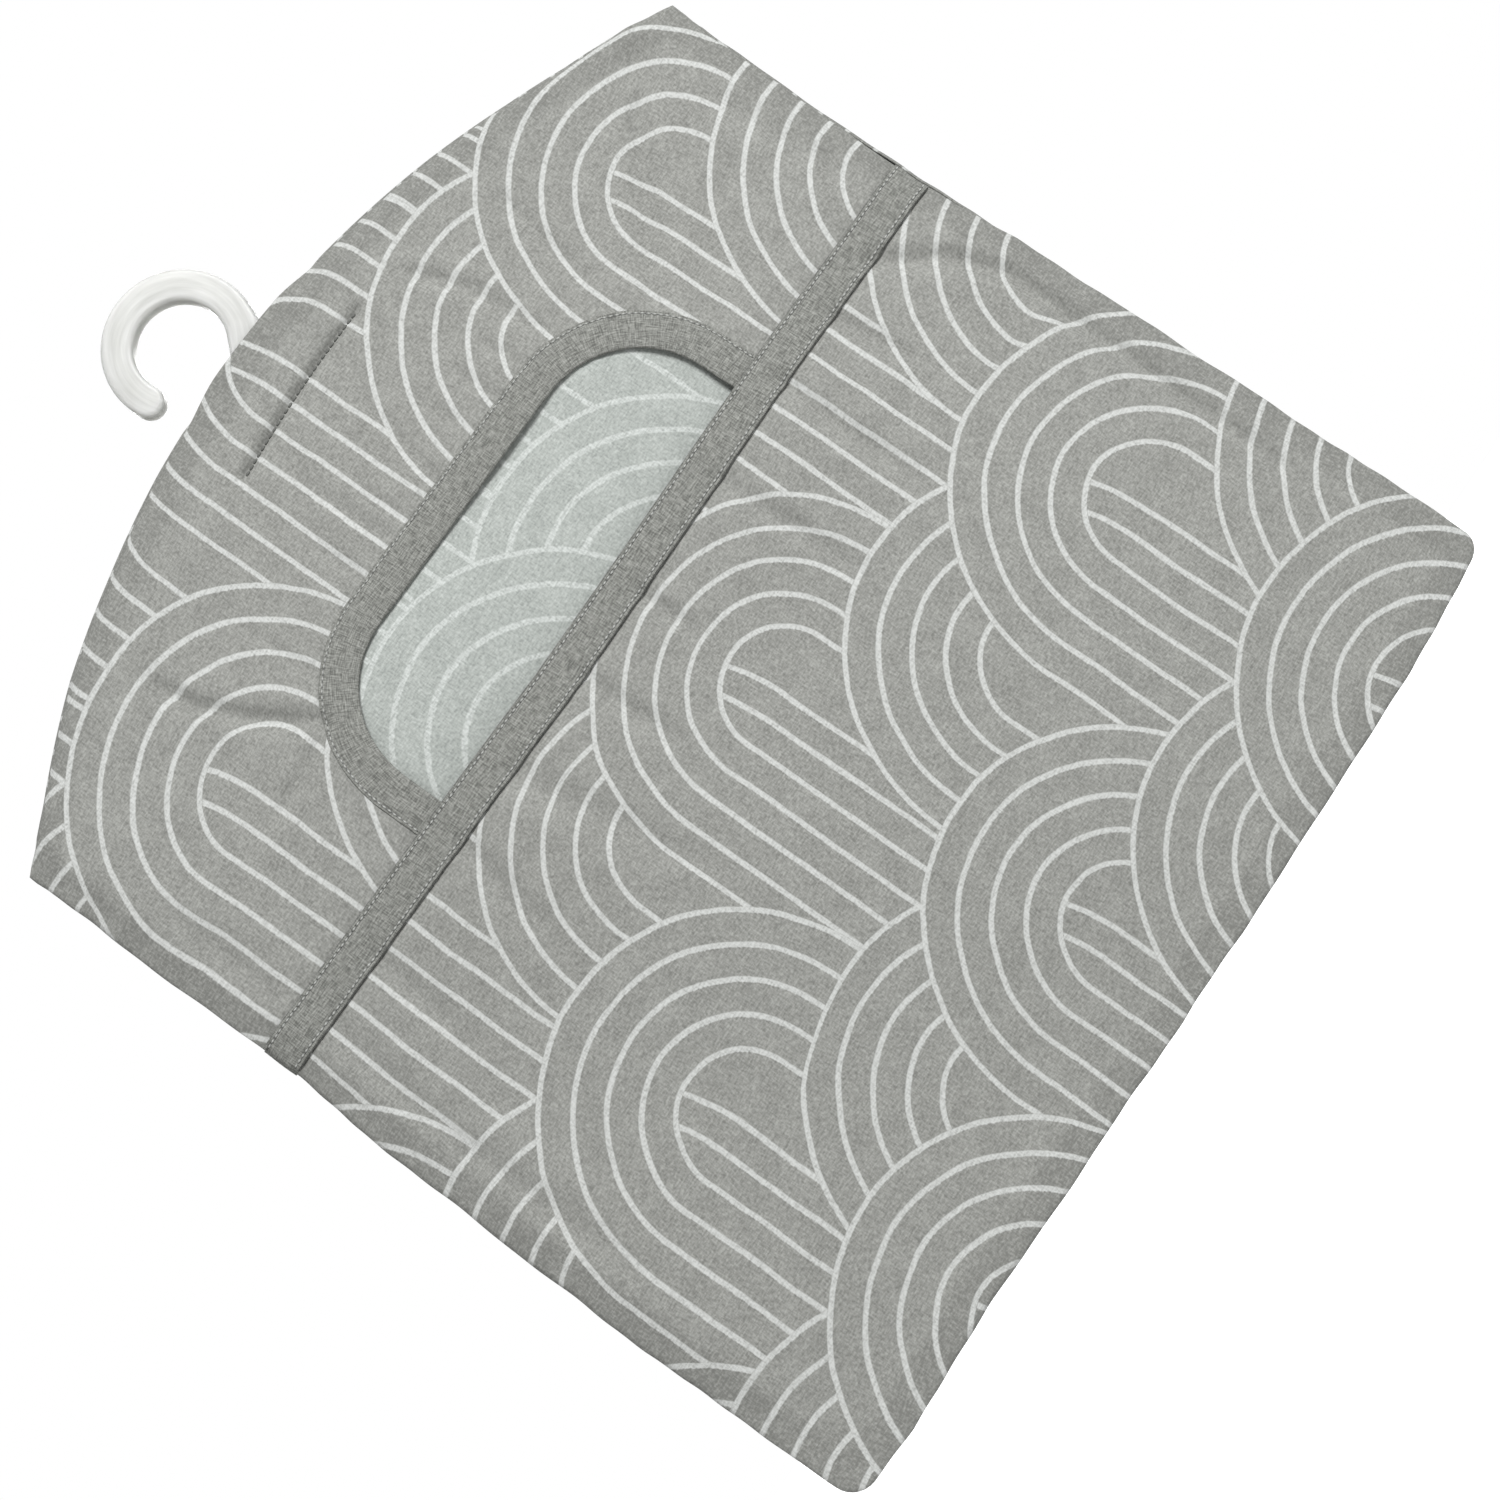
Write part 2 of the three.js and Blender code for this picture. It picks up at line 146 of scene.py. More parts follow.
def new_finish(name):
    finish = bpy.data.materials.new(name)
    finish.use_nodes = True
    return finish, finish.node_tree


def dress(tree, looks):
    """Links or sets inputs of the material's shader."""
    shader = tree.nodes["Principled BSDF"]
    for name, value in looks.items():
        feed(tree, shader.inputs[name], value)


print("node helpers ready")

# %% [markdown]
# The studio
# The picture has a bright, even, white surround. A white world gives it, and lights the bag more softly than
# it looks to the camera, so that the key light from above still draws the creases. The floor looks white to
# the camera too, but it is grey to the light, so that it throws little back on to the foot of the bag.

# %% Light the studio
SKY_LIGHT = 0.28
BAG_MIDDLE = (0.009, 0, -0.2)
LIGHTS = (
    ("key", (0.82, -1.79, 0.9), 0.85, 50.4),
    ("fill", (-0.9, -1.0, -0.1), 1.0, 1),
    ("back_fill", (0.2, 1.2, 0.4), 1.0, 16),
)
scene = bpy.context.scene
scene.view_settings.view_transform = "Standard"
studio = bpy.data.worlds.new("white_studio")
scene.world = studio
studio.use_nodes = True
sky = studio.node_tree.nodes["Background"]
sky.inputs["Color"].default_value = (1, 1, 1, 1)
brightness = brighter_to_camera(studio.node_tree, 1 - SKY_LIGHT, SKY_LIGHT)
studio.node_tree.links.new(brightness, sky.inputs["Strength"])
for name, place, size, power in LIGHTS:
    bpy.ops.object.light_add(type="AREA", location=place)
    light = bpy.context.object
    light.name = name
    light.data.size = size
    light.data.energy = power
    light.rotation_euler = (Vector(BAG_MIDDLE) - Vector(place)).to_track_quat("-Z", "Y").to_euler()

# %% Lay the floor
FLOOR_SIZE, FLOOR_Z, FLOOR_GLOW = 2.4, -0.46, 0.8
bpy.ops.mesh.primitive_plane_add(size=FLOOR_SIZE, location=(0, 0, FLOOR_Z))
floor = bpy.context.object
floor.name = "pale_floor"
pale, tree = new_finish("pale_floor")
dress(tree, {
    "Base Color": (0.6, 0.6, 0.6, 1),
    "Roughness": 0.9,
    "Emission Color": (1, 1, 1, 1),
    "Emission Strength": brighter_to_camera(tree, FLOOR_GLOW, 0),
})
floor.data.materials.append(pale)
print("floor at", FLOOR_Z, "m")

# %% [markdown]
# The flat pattern
# A sewn bag is drawn as flat pattern pieces, so each place here is x across and y up in millimetres from the
# middle of the line between the shoulders, with z towards the viewer. One function stands these points
# upright. The sizes and the swell of the cloth repeat those of the CAD model, so every layer falls on its own
# solid. Only the layers lie closer together here, as pressed cloth does, the band is a little wider, and the
# back bows forward behind the hand opening.

# %% Sizes of the pattern in millimetres
HALF_WIDTH, SIDE_HEIGHT, TOP_RISE, CORNER = 165.0, 300.0, 44.5, 7.0
CLOTH, TAPE, GAP = 0.5, 0.45, 0.1
SCOOP_HALF, SCOOP_TOP, SCOOP_RADIUS, BINDING_WIDTH = 75.0, -43.0, 32.0, 12.0
BAND_TOP, BAND_BOTTOM, YOKE_BOTTOM = -87.0, -98.9, -97.0
STAY_Y, STAY_HALF, STAY_SLANT = 21.0, 30.0, 0.06
HOOK_X, HOOK_Y, HOOK_INNER, HOOK_OUTER = -9.0, 59.5, 14.5, 24.5
SEAM_GAP, HANGER_ROOM = 0.6, 2.7
TOP_ROLL, SIDE_ROLL, FOOT_ROLL = 7.0, 14.0, 60.0
BELLY, BELLY_BELOW, BELLY_SIDE, BELLY_FOOT = 6.0, (32, 150), 120, 140
NECK_X, NECK_SPREAD, NECK_DEPTH = 4.0, (14, 34), (20, 40)
PINCH, PINCH_REACH, PINCH_DENT, PINCH_WIDTH = 0.45, 3.2, 1.6, 0.8
BAND_STACK = CLOTH + 2 * TAPE + 3 * GAP
TOP_RADIUS = (HALF_WIDTH**2 + TOP_RISE**2) / (2 * TOP_RISE)
TOP_CENTRE = TOP_RISE - TOP_RADIUS
LEVEL_FROM = SCOOP_TOP + BINDING_WIDTH


def upright(x, y, z):
    """Points of the flat pattern in millimetres, as places in the row frame in metres."""
    return np.stack((x - HOOK_X, -z, y - HOOK_Y - HOOK_INNER), axis=-1) / 1000


def pairs(first, second):
    """Two rows of numbers side by side; either of them may be one number for all."""
    return np.stack(np.broadcast_arrays(first, second), axis=-1)


def smooth(value, low, high):
    """0 up to low, 1 from high on, and a soft slope in between."""
    share = np.clip((value - low) / (high - low), 0, 1)
    return share * share * (3 - 2 * share)


def bell(value, width):
    """1 at zero, and less on both sides of it."""
    return np.exp(-((value / width) ** 2))


print("the top edge is an arc of", round(TOP_RADIUS, 1), "mm")

# %% How far the cloth stands from the middle plane
HEAD_DRIFT = (
    (-165, -145, -110, -80, -45, 40, 80, 110, 130, 150),
    (-2.0, -2.8, -1.0, -0.9, 0.0, 0.0, -0.5, -1.3, -1.2, 0.6),
)


def top_y(x):
    return TOP_CENTRE + np.sqrt(TOP_RADIUS**2 - x**2)


def margins(x, y):
    """Distances below the top edge, in from the nearer side and above the foot."""
    return top_y(x) - y, HALF_WIDTH - np.abs(x), y + SIDE_HEIGHT


def row_y(x, middle_y):
    """A row that follows the arched top edge near it and is level from the hand opening down."""
    share = np.clip((middle_y - LEVEL_FROM) / (TOP_RISE - TOP_ROLL - LEVEL_FROM), 0, 1)
    return middle_y + (top_y(x) - TOP_RISE) * share


def stay_y(x):
    """The row that keeps the hanger in place, sewn by eye and so a little aslant."""
    return row_y(x, STAY_Y) + STAY_SLANT * x


def neck_gap(x, y):
    """1 where the top seam is left open for the neck of the hanger."""
    return (1 - smooth(np.abs(x - NECK_X), *NECK_SPREAD)) * (1 - smooth(top_y(x) - y, *NECK_DEPTH))


def half_gap(x, y):
    """Room for the hanger; where the top edge has drifted down, the room starts at once."""
    below, side, low = margins(x, y)
    top = np.maximum(neck_gap(x, y), smooth(below - np.interp(x, *HEAD_DRIFT), 0, TOP_ROLL))
    open_gap = SEAM_GAP + HANGER_ROOM * top * smooth(side, 0, SIDE_ROLL) * smooth(low, 0, FOOT_ROLL)
    to_stay = np.hypot(np.maximum(0, np.abs(x) - STAY_HALF), y - stay_y(x))
    pinched = PINCH * (1 - smooth(to_stay, 0, PINCH_REACH))
    return open_gap * (1 - pinched) - PINCH_DENT * PINCH * bell(to_stay, PINCH_WIDTH)


def belly(x, y):
    below, side, low = margins(x, y)
    return BELLY * smooth(below, *BELLY_BELOW) * smooth(side, 0, BELLY_SIDE) * smooth(low, 0, BELLY_FOOT)


def edge_distance(x, y):
    """Distance in from the outline of the bag, with its two round lower corners."""
    below, side, low = margins(x, y)
    top = below * np.sqrt(1 - (x / TOP_RADIUS) ** 2)
    corner = CORNER - np.hypot(CORNER - side, CORNER - low)
    foot = np.where((side < CORNER) & (low < CORNER), corner, np.minimum(side, low))
    return np.maximum(0, np.minimum(top, foot))


def scoop_distance(x, y):
    """Distance out from the edge of the hand opening, negative inside it."""
    across = np.abs(x) - (SCOOP_HALF - SCOOP_RADIUS)
    up = y - (SCOOP_TOP - SCOOP_RADIUS)
    around = np.hypot(np.maximum(0, across), up) - SCOOP_RADIUS
    return np.where(up < 0, np.abs(x) - SCOOP_HALF, np.where(across < 0, up - SCOOP_RADIUS, around))


print("depth at the belly:", round(float(belly(0.0, -150.0)) + 2 * (SEAM_GAP + HANGER_ROOM), 1), "mm")

# %% [markdown]
# Creases and rolls
# An empty bag is never quite flat. The seam turns the cloth over in a small roll, the seam allowance inside
# lifts a strip along the edge, and the opening and the band pull soft creases into the cloth. A cloth
# simulation would put creases where it likes, so these are sculpted: each one is a valley with a swell on
# each side, where the picture shows it. A crease is its points, its width and its depth.

# %% Where the creases lie
YOKE_CREASES = (
    (((-104, 36), (-97.2, 9), (-94.4, -15)), 3.0, 1.3),
    (((-97, 4), (-94.4, -13), (-87.8, -28.7), (-70, -56)), 3.1, 3.4),
    (((43, 34), (50, 14), (55, -1), (58, -36)), 2.8, 2.0),
    (((89, 28), (84, 5), (77, -34)), 2.9, 1.9),
    (((162, 14), (120, -20), (76, -58)), 4.2, 2.3),
    (((8, -2), (0.5, -34)), 2.4, 1.4),
    (((-22, 6), (-20, -34)), 2.4, 1.2),
    (((-112, -53), (-72, -48)), 2.3, 1.7),
    (((29, 25), (31, 6)), 2.4, 1.0),
    (((-162, -15), (-135, -4), (-108, 10)), 4.0, 1.6),
    (((-148, -36), (-150, -84)), 5.0, 2.0),
    (((148, -22), (150, -84)), 5.0, 2.0),
)
GATHERS = tuple((((x, -12), (x + 1, -39)), 1.9, 1.2) for x in (-67, -35, -14, 19, 32, 44))
POCKET_CREASES = (
    (((122, -82), (138, -107), (147, -117), (153, -135), (151.5, -173), (149, -250)), 3.2, 3.6),
    (((84, -84), (83, -152)), 3.2, 2.6),
    (((49, -84), (50, -158)), 3.6, 2.2),
    (((109, -84), (113, -130)), 3.2, 2.0),
    (((8, -84), (8, -122)), 2.8, 2.2),
    (((-22, -84), (-21, -140)), 3.2, 2.1),
    (((-58, -84), (-52, -126), (-46, -168)), 5.5, 2.0),
    (((-80, -84), (-87, -138)), 4.2, 1.9),
    (((-120, -84), (-126, -132)), 4.0, 1.7),
    (((-146, -98), (-151, -150), (-149, -218)), 4.6, 2.2),
)
print("creases:", len(YOKE_CREASES + GATHERS), "in the yoke,", len(POCKET_CREASES), "in the pocket")

# %% Sculpt the relief
SWELL_SHARE, SWELL_REACH = 0.3, 2.4
SIDE_PUCKER, HEAD_PUCKER, PUCKER_REACH, HEAD_REACH = 0.22, 0.6, 7, 5
ALLOWANCE_LIFT, ALLOWANCE_EDGE = 0.4, (8.5, 12.5)
ARMS_CLEAR = (19, 29)
ARM_TIP, ARM_TIP_LIFT, ARM_TIP_REACH = (151, 5), 2.0, 8


def crease(x, y, points, width, depth):
    """A pressed valley along a broken line, with a swell on each side, that fades at its ends."""
    points = np.array(points, float)
    lengths = np.hypot(*np.diff(points, axis=0).T)
    total = lengths.sum()
    nearest = np.full(np.shape(x), 1e9)
    along = np.zeros(np.shape(x))
    start = 0.0
    for (ax, ay), (bx, by), length in zip(points[:-1], points[1:], lengths):
        t = np.clip(((x - ax) * (bx - ax) + (y - ay) * (by - ay)) / length**2, 0, 1)
        away = np.hypot(x - ax - t * (bx - ax), y - ay - t * (by - ay))
        closer = away < nearest
        nearest = np.where(closer, away, nearest)
        along = np.where(closer, (start + t * length) / total, along)
        start += length
    fade = 1 - (2 * along - 1) ** 4
    return depth * fade * (SWELL_SHARE * bell(nearest, SWELL_REACH * width) - bell(nearest, width))


def undulation(x, y):
    """Slow waves all over, as in any cloth that has been folded and pressed."""
    slow = np.sin(x / 29 + 0.6) * np.sin(y / 37 + 1.1) + 0.7 * np.sin((x + 0.7 * y) / 23 + 2.0)
    return 0.5 * slow + 0.2 * np.sin((x - 1.3 * y) / 11 + 0.5)


def uneven_wave(along, step, bend, lead=0.0):
    """A wave along an edge whose length changes slowly, as gathers in a seam do."""
    return np.sin(along / step + 2 * np.sin(along / bend) + lead)


def seam_pucker(x, y):
    """Short gathers that the seam leaves along the edge, and the lift of the allowance inside it."""
    below, side, low = margins(x, y)
    sides = np.exp(-side / PUCKER_REACH) * uneven_wave(y, 2.1, 13, np.sign(x))
    foot = np.exp(-low / PUCKER_REACH) * uneven_wave(x, 2.3, 15)
    head = np.exp(-below / HEAD_REACH) * uneven_wave(x, 2.0, 11)
    lift = ALLOWANCE_LIFT * (1 - smooth(edge_distance(x, y), *ALLOWANCE_EDGE))
    return SIDE_PUCKER * (sides + foot + HEAD_PUCKER * head) + lift


def relief(x, y, creases, share=1.0):
    """All that lifts or dents the cloth below the hanger's arms, and the lift at the tip of one arm."""
    free = smooth(top_y(x) - y, *ARMS_CLEAR)
    total = undulation(x, y) + share * sum(crease(x, y, *one) for one in creases)
    arm_tip = ARM_TIP_LIFT * bell(x - ARM_TIP[0], ARM_TIP_REACH) * bell(y - ARM_TIP[1], ARM_TIP_REACH)
    return total * free + seam_pucker(x, y) + arm_tip


print("the tip of the right arm lifts the cloth by", ARM_TIP_LIFT, "mm")

# %% [markdown]
# The seam
# The bag is sewn inside out and then turned, so its edge is a roll of cloth. Along the top and high on the
# right the back comes round this roll, and shows from the front as a narrow strip with the seam beside it.
# Each table below gives distances from the edge of the sheet, and then the lift or the new distance there.

# %% Roll the cloth over at the seam
ROLL_RADIUS, BAND_END_Y, BAND_END_SWELL, BAND_END_REACH = 2.0, -92.0, 1.5, 14
SEAM_REST, NECK_REST = 0.15, 3.3
ROLLED_STRIP, ROLLED_RIGHT, ROLLED_CORNER = (4, 10), (-132, -112), (3, 12)
ROUND_EDGE = 0.75
EDGE_LIFT = (0, 0.35, ROUND_EDGE, 1.25), (1.35, 1.0, 0.2, 0.0)
BACK_EDGE = (0, 0.35, ROUND_EDGE, 1.25, 2.0, 3.2, 5.0), (0.95, 0.5, 0.0, 0.3, 1.3, 2.9, 5.0)
FRONT_EDGE = (0, 1.0, 3.0, 6.0), (0.7, 1.3, 3.05, 6.0)
PROBE = 0.01


def slope(distance, x, y):
    """How much a distance changes across a small probe, along x and along y."""
    along_x = distance(x + PROBE, y) - distance(x - PROBE, y)
    along_y = distance(x, y + PROBE) - distance(x, y - PROBE)
    return along_x, along_y


def turned_in(x, y, height, start=0.0):
    """The cloth leaves the seam upright and rolls over to its own height."""
    radius = ROLL_RADIUS + BAND_END_SWELL * bell(y - BAND_END_Y, BAND_END_REACH)
    share = np.clip((edge_distance(x, y) - start) / radius, 0, 1)
    rest = SEAM_REST + NECK_REST * neck_gap(x, y)
    return rest + (height - rest) * np.sqrt(1 - (1 - share) ** 2)


def rolled_over(x, y):
    """1 where the back comes round to the front: along the top beside the neck, and high on the right."""
    below, side, low = margins(x, y)
    top = 1 - smooth(below, *ROLLED_STRIP)
    right = np.where(x > 0, smooth(y, *ROLLED_RIGHT), 0)
    clear_of_shoulder = smooth(np.hypot(side, y), *ROLLED_CORNER)
    return np.maximum(top, right) * (1 - neck_gap(x, y)) * clear_of_shoulder


def drawn_in(x, y, edge):
    """Moves the cloth along the seam in from the outline, by the table of the back's edge or the front's."""
    out = edge_distance(x, y)
    move = np.where(out < edge[0][-1], np.interp(out, *edge) - out, 0) * rolled_over(x, y)
    along_x, along_y = slope(edge_distance, x, y)
    steepness = np.maximum(np.hypot(along_x, along_y), 1e-6)
    return x + move * along_x / steepness, y + move * along_y / steepness


print("the back comes round the edge by", BACK_EDGE[1][0], "mm")

# %% Faces of the three layers
BINDING_HOLD, BAND_HOLD, LIFT_FADE = (7, 13), 14, 60
BACK_BOW, BOW_SPREAD, BOW_FOOT = 8.8, (-5, 45), (-210, -100)
NO_LAYER, LEAST_ROOM, TAPE_MARGIN = 99.0, 0.15, 1


def front_face(x, y, raised):
    return turned_in(x, y, half_gap(x, y) + belly(x, y) + CLOTH + raised)


def yoke_face(x, y, above=0.0):
    """The binding holds the cloth flat, so no crease runs under it."""
    ridges = relief(x, y, YOKE_CREASES + GATHERS, smooth(scoop_distance(x, y), *BINDING_HOLD))
    return front_face(x, y, ridges + above)


def pocket_face(x, y, above=0.0):
    """The band lifts the top of the pocket and holds it flat."""
    lift = BAND_STACK * (1 - smooth(BAND_BOTTOM - y, 0, LIFT_FADE))
    ridges = relief(x, y, POCKET_CREASES, smooth(BAND_TOP - y, 0, BAND_HOLD))
    return front_face(x, y, lift + ridges + above)


def room_behind(x, y):
    """How far forward the back may come before it meets the layer in front of it."""
    out = scoop_distance(x, y)
    yoke = yoke_face(x, y) - CLOTH - np.where(out < BINDING_WIDTH + TAPE_MARGIN, GAP + TAPE, 0)
    yoke = np.where((y < YOKE_BOTTOM) | (out < -TAPE_MARGIN), NO_LAYER, yoke)
    pocket = pocket_face(x, y) - CLOTH - np.where(y > BAND_BOTTOM - TAPE_MARGIN, GAP + TAPE, 0)
    pocket = np.where(y > BAND_TOP + TAPE_MARGIN, NO_LAYER, pocket)
    return np.minimum(yoke, pocket) - LEAST_ROOM


def back_face(x, y):
    """The outer face of the back, which swells forward behind the hand opening until it meets the front."""
    bow = BACK_BOW * (1 - smooth(scoop_distance(x, y), *BOW_SPREAD)) * smooth(y, *BOW_FOOT)
    height = half_gap(x, y) + CLOTH + relief(x, y, ()) - bow
    rolled = rolled_over(x, y)
    lift = rolled * np.interp(edge_distance(x, y), *EDGE_LIFT)
    face = lift - turned_in(x, y, height, ROUND_EDGE * rolled)
    return np.where(bow > 0, np.minimum(face, room_behind(x, y) - CLOTH), face)


print("yoke stands", round(float(yoke_face(0.0, -20.0)), 2), "mm in front of the middle plane")

# %% Drift of the sewn outline from its pattern
LEFT_DRIFT = (
    (-300, -280, -235, -190, -160, -130, -100, -55, -5),
    (0.5, 1.3, 2.3, 1.8, 1.0, 0.2, -1.9, -1.6, -2.0),
)
RIGHT_DRIFT = (-300, -280, -160, -130, -95, -70, -40, -5), (-1.5, -1.2, -1.2, -1.6, -3.1, -2.0, -1.4, 0.4)
FOOT_DRIFT = (
    (-160, -140, -100, 0, 60, 100, 120, 140, 165),
    (-1.3, -2.4, -0.6, -0.5, 0.2, 1.6, 2.2, 3.6, 5.8),
)
BAND_SAG = (-165, -95, -30, 40, 87, 165), (-2.5, -3.8, -4.6, -2.8, -1.0, 0.5)
DRIFT_REACH, SAG_Y, SAG_REACH = 30, -93.0, 28
LONG_WAVE, SHORT_WAVE = 0.2, 0.1


def sway(x, y):
    """The drift of the sewn outline from its pattern, the sag of the band and the slightly wavy edges."""
    below, side, low = margins(x, y)
    drift = np.where(x < 0, -np.interp(y, *LEFT_DRIFT), np.interp(y, *RIGHT_DRIFT))
    wave = LONG_WAVE * uneven_wave(y, 9.1, 31, np.sign(x)) + SHORT_WAVE * uneven_wave(y, 2.7, 19)
    across = (drift + wave) * np.exp(-side / DRIFT_REACH)
    ripple = LONG_WAVE * uneven_wave(x, 10.3, 37) + SHORT_WAVE * uneven_wave(x, 3.1, 23)
    down = (np.interp(x, *FOOT_DRIFT) + ripple) * np.exp(-low / DRIFT_REACH)
    down = down + np.interp(x, *HEAD_DRIFT) * np.exp(-below / DRIFT_REACH)
    return across, down + np.interp(x, *BAND_SAG) * bell(y - SAG_Y, SAG_REACH)


print("the band sags by up to", -min(BAND_SAG[1]), "mm")

# %% [markdown]
# The print
# The cloth carries white line arches, row over row, a common pattern of overlapping arches. An arch is a set
# of rings about a point that run straight down below it, so the distance to that point, or to the line under
# it, says where the ink is. Each arch has a second one beside and behind it, and each row stands in front of
# the row above. In some places the second arches lie nearer to the first ones, so they take a slip from the
# piece.

# %% One arch as a node group
ARCH_INNER, ARCH_PITCH, ARCH_RINGS, STROKE, INK_EDGE = 19.6, 9.75, 5, 1.6, 0.35
ARCH_OUTER = ARCH_INNER + (ARCH_RINGS - 1) * ARCH_PITCH
STEMS, LEAN, SQUASH = (1.2, 10.3), 0.008, 0.97


def new_group(name, inputs, outputs):
    """A node group with the named values, and its sockets inside the group."""
    group = bpy.data.node_groups.new(name, "ShaderNodeTree")
    for way, names in (("INPUT", inputs), ("OUTPUT", outputs)):
        for label in names:
            group.interface.new_socket(label, in_out=way, socket_type="NodeSocketFloat")
    given = group.nodes.new("NodeGroupInput").outputs
    wanted = group.nodes.new("NodeGroupOutput").inputs
    return group, given, wanted


def inside_of(m, limit, value):
    """1 where the value is under the limit, 0 past it, with the soft edge of printed ink."""
    return m("MULTIPLY_ADD", value, -1 / INK_EDGE, limit / INK_EDGE + 0.5, clamp=True)


arch, arch_in, arch_out = new_group("one_arch", ("across", "above", "stemmed"), ("ink", "cover"))
m = partial(maths, arch)
across, rise = arch_in[0], m("MAXIMUM", m("MULTIPLY", arch_in[1], SQUASH), 0.0)
reach = m("SQRT", m("ADD", m("MULTIPLY", across, across), m("MULTIPLY", rise, rise)))
ring = inside_of(m, STROKE / 2, m("PINGPONG", m("SUBTRACT", reach, ARCH_INNER), ARCH_PITCH / 2))
core = inside_of(m, ARCH_INNER - STROKE / 2, reach)
leaning = m("MULTIPLY_ADD", m("MULTIPLY", rise, rise), LEAN, across)
stems = m("MINIMUM", *(m("ABSOLUTE", m("ADD", leaning, stem)) for stem in STEMS))
ink_in_core = m("MULTIPLY", m("MULTIPLY", core, arch_in[2]), inside_of(m, STROKE / 2, stems))
ink_outside = m("MULTIPLY", ring, m("SUBTRACT", 1.0, core))
cover = inside_of(m, ARCH_OUTER + STROKE / 2, reach)
feed(arch, arch_out[0], m("MULTIPLY", cover, m("MAXIMUM", ink_in_core, ink_outside)))
feed(arch, arch_out[1], cover)
print("an arch is", round(2 * ARCH_OUTER), "mm wide and its group has", len(arch.nodes), "nodes")

# %% Rows of arches, the lowest in front
ROWS = (-225.0, -159.0, -119.0, -58.0, 0.0, 61.0, 124.0, 184.0)
COLUMN, BESIDE, SLIP_RISE = 108.3, 57.0, 0.6
arches, arches_in, arches_out = new_group("rows_of_arches", ("u", "v", "slip"), ("ink",))
m = partial(maths, arches)
slipped = m("ADD", arches_in[0], arches_in[2])
lifted = m("MULTIPLY_ADD", arches_in[2], -SLIP_RISE, arches_in[1])
first_arches = (arches_in[0], arches_in[1], 0.0, 1.0)
second_arches = (slipped, lifted, BESIDE, 0.0)
ink, bare = 0.0, 1.0
for i, row in enumerate(ROWS):
    for u, v, beside, stemmed in (first_arches, second_arches):
        one = added(arches, "Group")
        one.node_tree = arch
        shifted = m("ADD", u, beside + i % 2 * COLUMN)
        feed(arches, one.inputs[0], m("WRAP", shifted, COLUMN, -COLUMN))
        feed(arches, one.inputs[1], m("SUBTRACT", v, row))
        feed(arches, one.inputs[2], stemmed)
        ink = m("MULTIPLY_ADD", bare, one.outputs[0], ink)
        bare = m("MULTIPLY", bare, m("SUBTRACT", 1.0, one.outputs[1]))
feed(arches, arches_out[0], ink)
print("the rows use", len(arches.nodes), "nodes")

# %% [markdown]
# The cotton
# Plain woven cotton is never one grey: threads vary along their length, so noise drawn out along the warp and
# along the weft gives its fine cross hatch without a regular grid. The ink sits on the raised threads and
# lets a little ground through. The wrong side is paler, and the print only shows through it.

# %% Finishes of the cotton's two sides
WEAVE_CONTRAST, WEAVE_MEAN = 1.25, 1.81
THREAD_WIDE, THREAD_LONG = 1.9, 0.45
STRAY_FAR, STRAY_FINE = 2.0, 0.5
BLOTCHES, EDGE_PAINTED_SHADE = 0.5, -0.16
INK_WEAR, INK_MEAN = 0.9, 1.47
MATT_CLOTH = {"Sheen Weight": 0.08, "Specular IOR Level": 0.25}


def crossed_threads(tree, cut, wide, long, detail, turn=0.0):
    """Noise drawn out along the warp and along the weft, added up."""
    ways = (wide, long, 1), (long, wide, 1)
    return maths(tree, "ADD", *(noise(tree, stretched(tree, cut, way, turn), 1.0, detail) for way in ways))


def toned(tree, value, contrast, mean):
    """The value spread about its mean, from 0 to 1."""
    return maths(tree, "MULTIPLY_ADD", value, contrast, 0.5 - mean * contrast, clamp=True)


def cotton(name, ground, thread, ink_colour, ink_share):
    finish, tree = new_finish(name)
    m = partial(maths, tree)
    cut = cut_millimetres(tree)
    place = axes_of(tree, cut)
    stray = added(tree, "SeparateColor", Color=noise(tree, cut, 0.045, 6.0, "Color")).outputs
    speck = noise(tree, cut, 1.2, 3.0)
    rows = added(tree, "Group")
    rows.node_tree = arches
    for i in (0, 1):
        far = m("MULTIPLY_ADD", stray[i], STRAY_FAR, -(STRAY_FAR + STRAY_FINE) / 2)
        frayed = m("MULTIPLY_ADD", speck, STRAY_FINE, far)
        feed(tree, rows.inputs[i], m("ADD", place[i], frayed))
    feed(tree, rows.inputs[2], mark_of(tree, "slip"))
    weave = m("ADD", crossed_threads(tree, cut, THREAD_WIDE, THREAD_LONG, 3.0), speck)
    # painted shade: the cloth is darkened in the strip along the seam, standing in for the shade of the
    # rolled edge
    shade = m("MULTIPLY", mark_of(tree, "painted_edge_shade"), EDGE_PAINTED_SHADE)
    cast = m("MULTIPLY_ADD", noise(tree, cut, 0.12, 4.0), BLOTCHES, shade)
    tone = toned(tree, m("ADD", weave, cast), WEAVE_CONTRAST, WEAVE_MEAN)
    worn = m("MULTIPLY_ADD", weave, INK_WEAR, ink_share - INK_MEAN, clamp=True)
    inked = m("MULTIPLY", rows.outputs[0], worn)
    dress(tree, {
        "Base Color": mixed(tree, inked, mixed(tree, tone, ground, thread), ink_colour),
        "Roughness": m("MULTIPLY_ADD", inked, -0.12, 0.93),
        "Normal": bump(tree, weave, 0.35, 0.00012),
        **MATT_CLOTH,
    })
    return finish


printed = cotton(
    "arch_print_cotton", (0.198, 0.2005, 0.187, 1), (0.402, 0.407, 0.383, 1), (0.6, 0.613, 0.597, 1), 0.92
)
wrong_side = cotton(
    "wrong_side_cotton", (0.3, 0.322, 0.304, 1), (0.526, 0.556, 0.53, 1), (0.66, 0.69, 0.67, 1), 0.6
)
print("cotton finishes:", printed.name, "and", wrong_side.name)
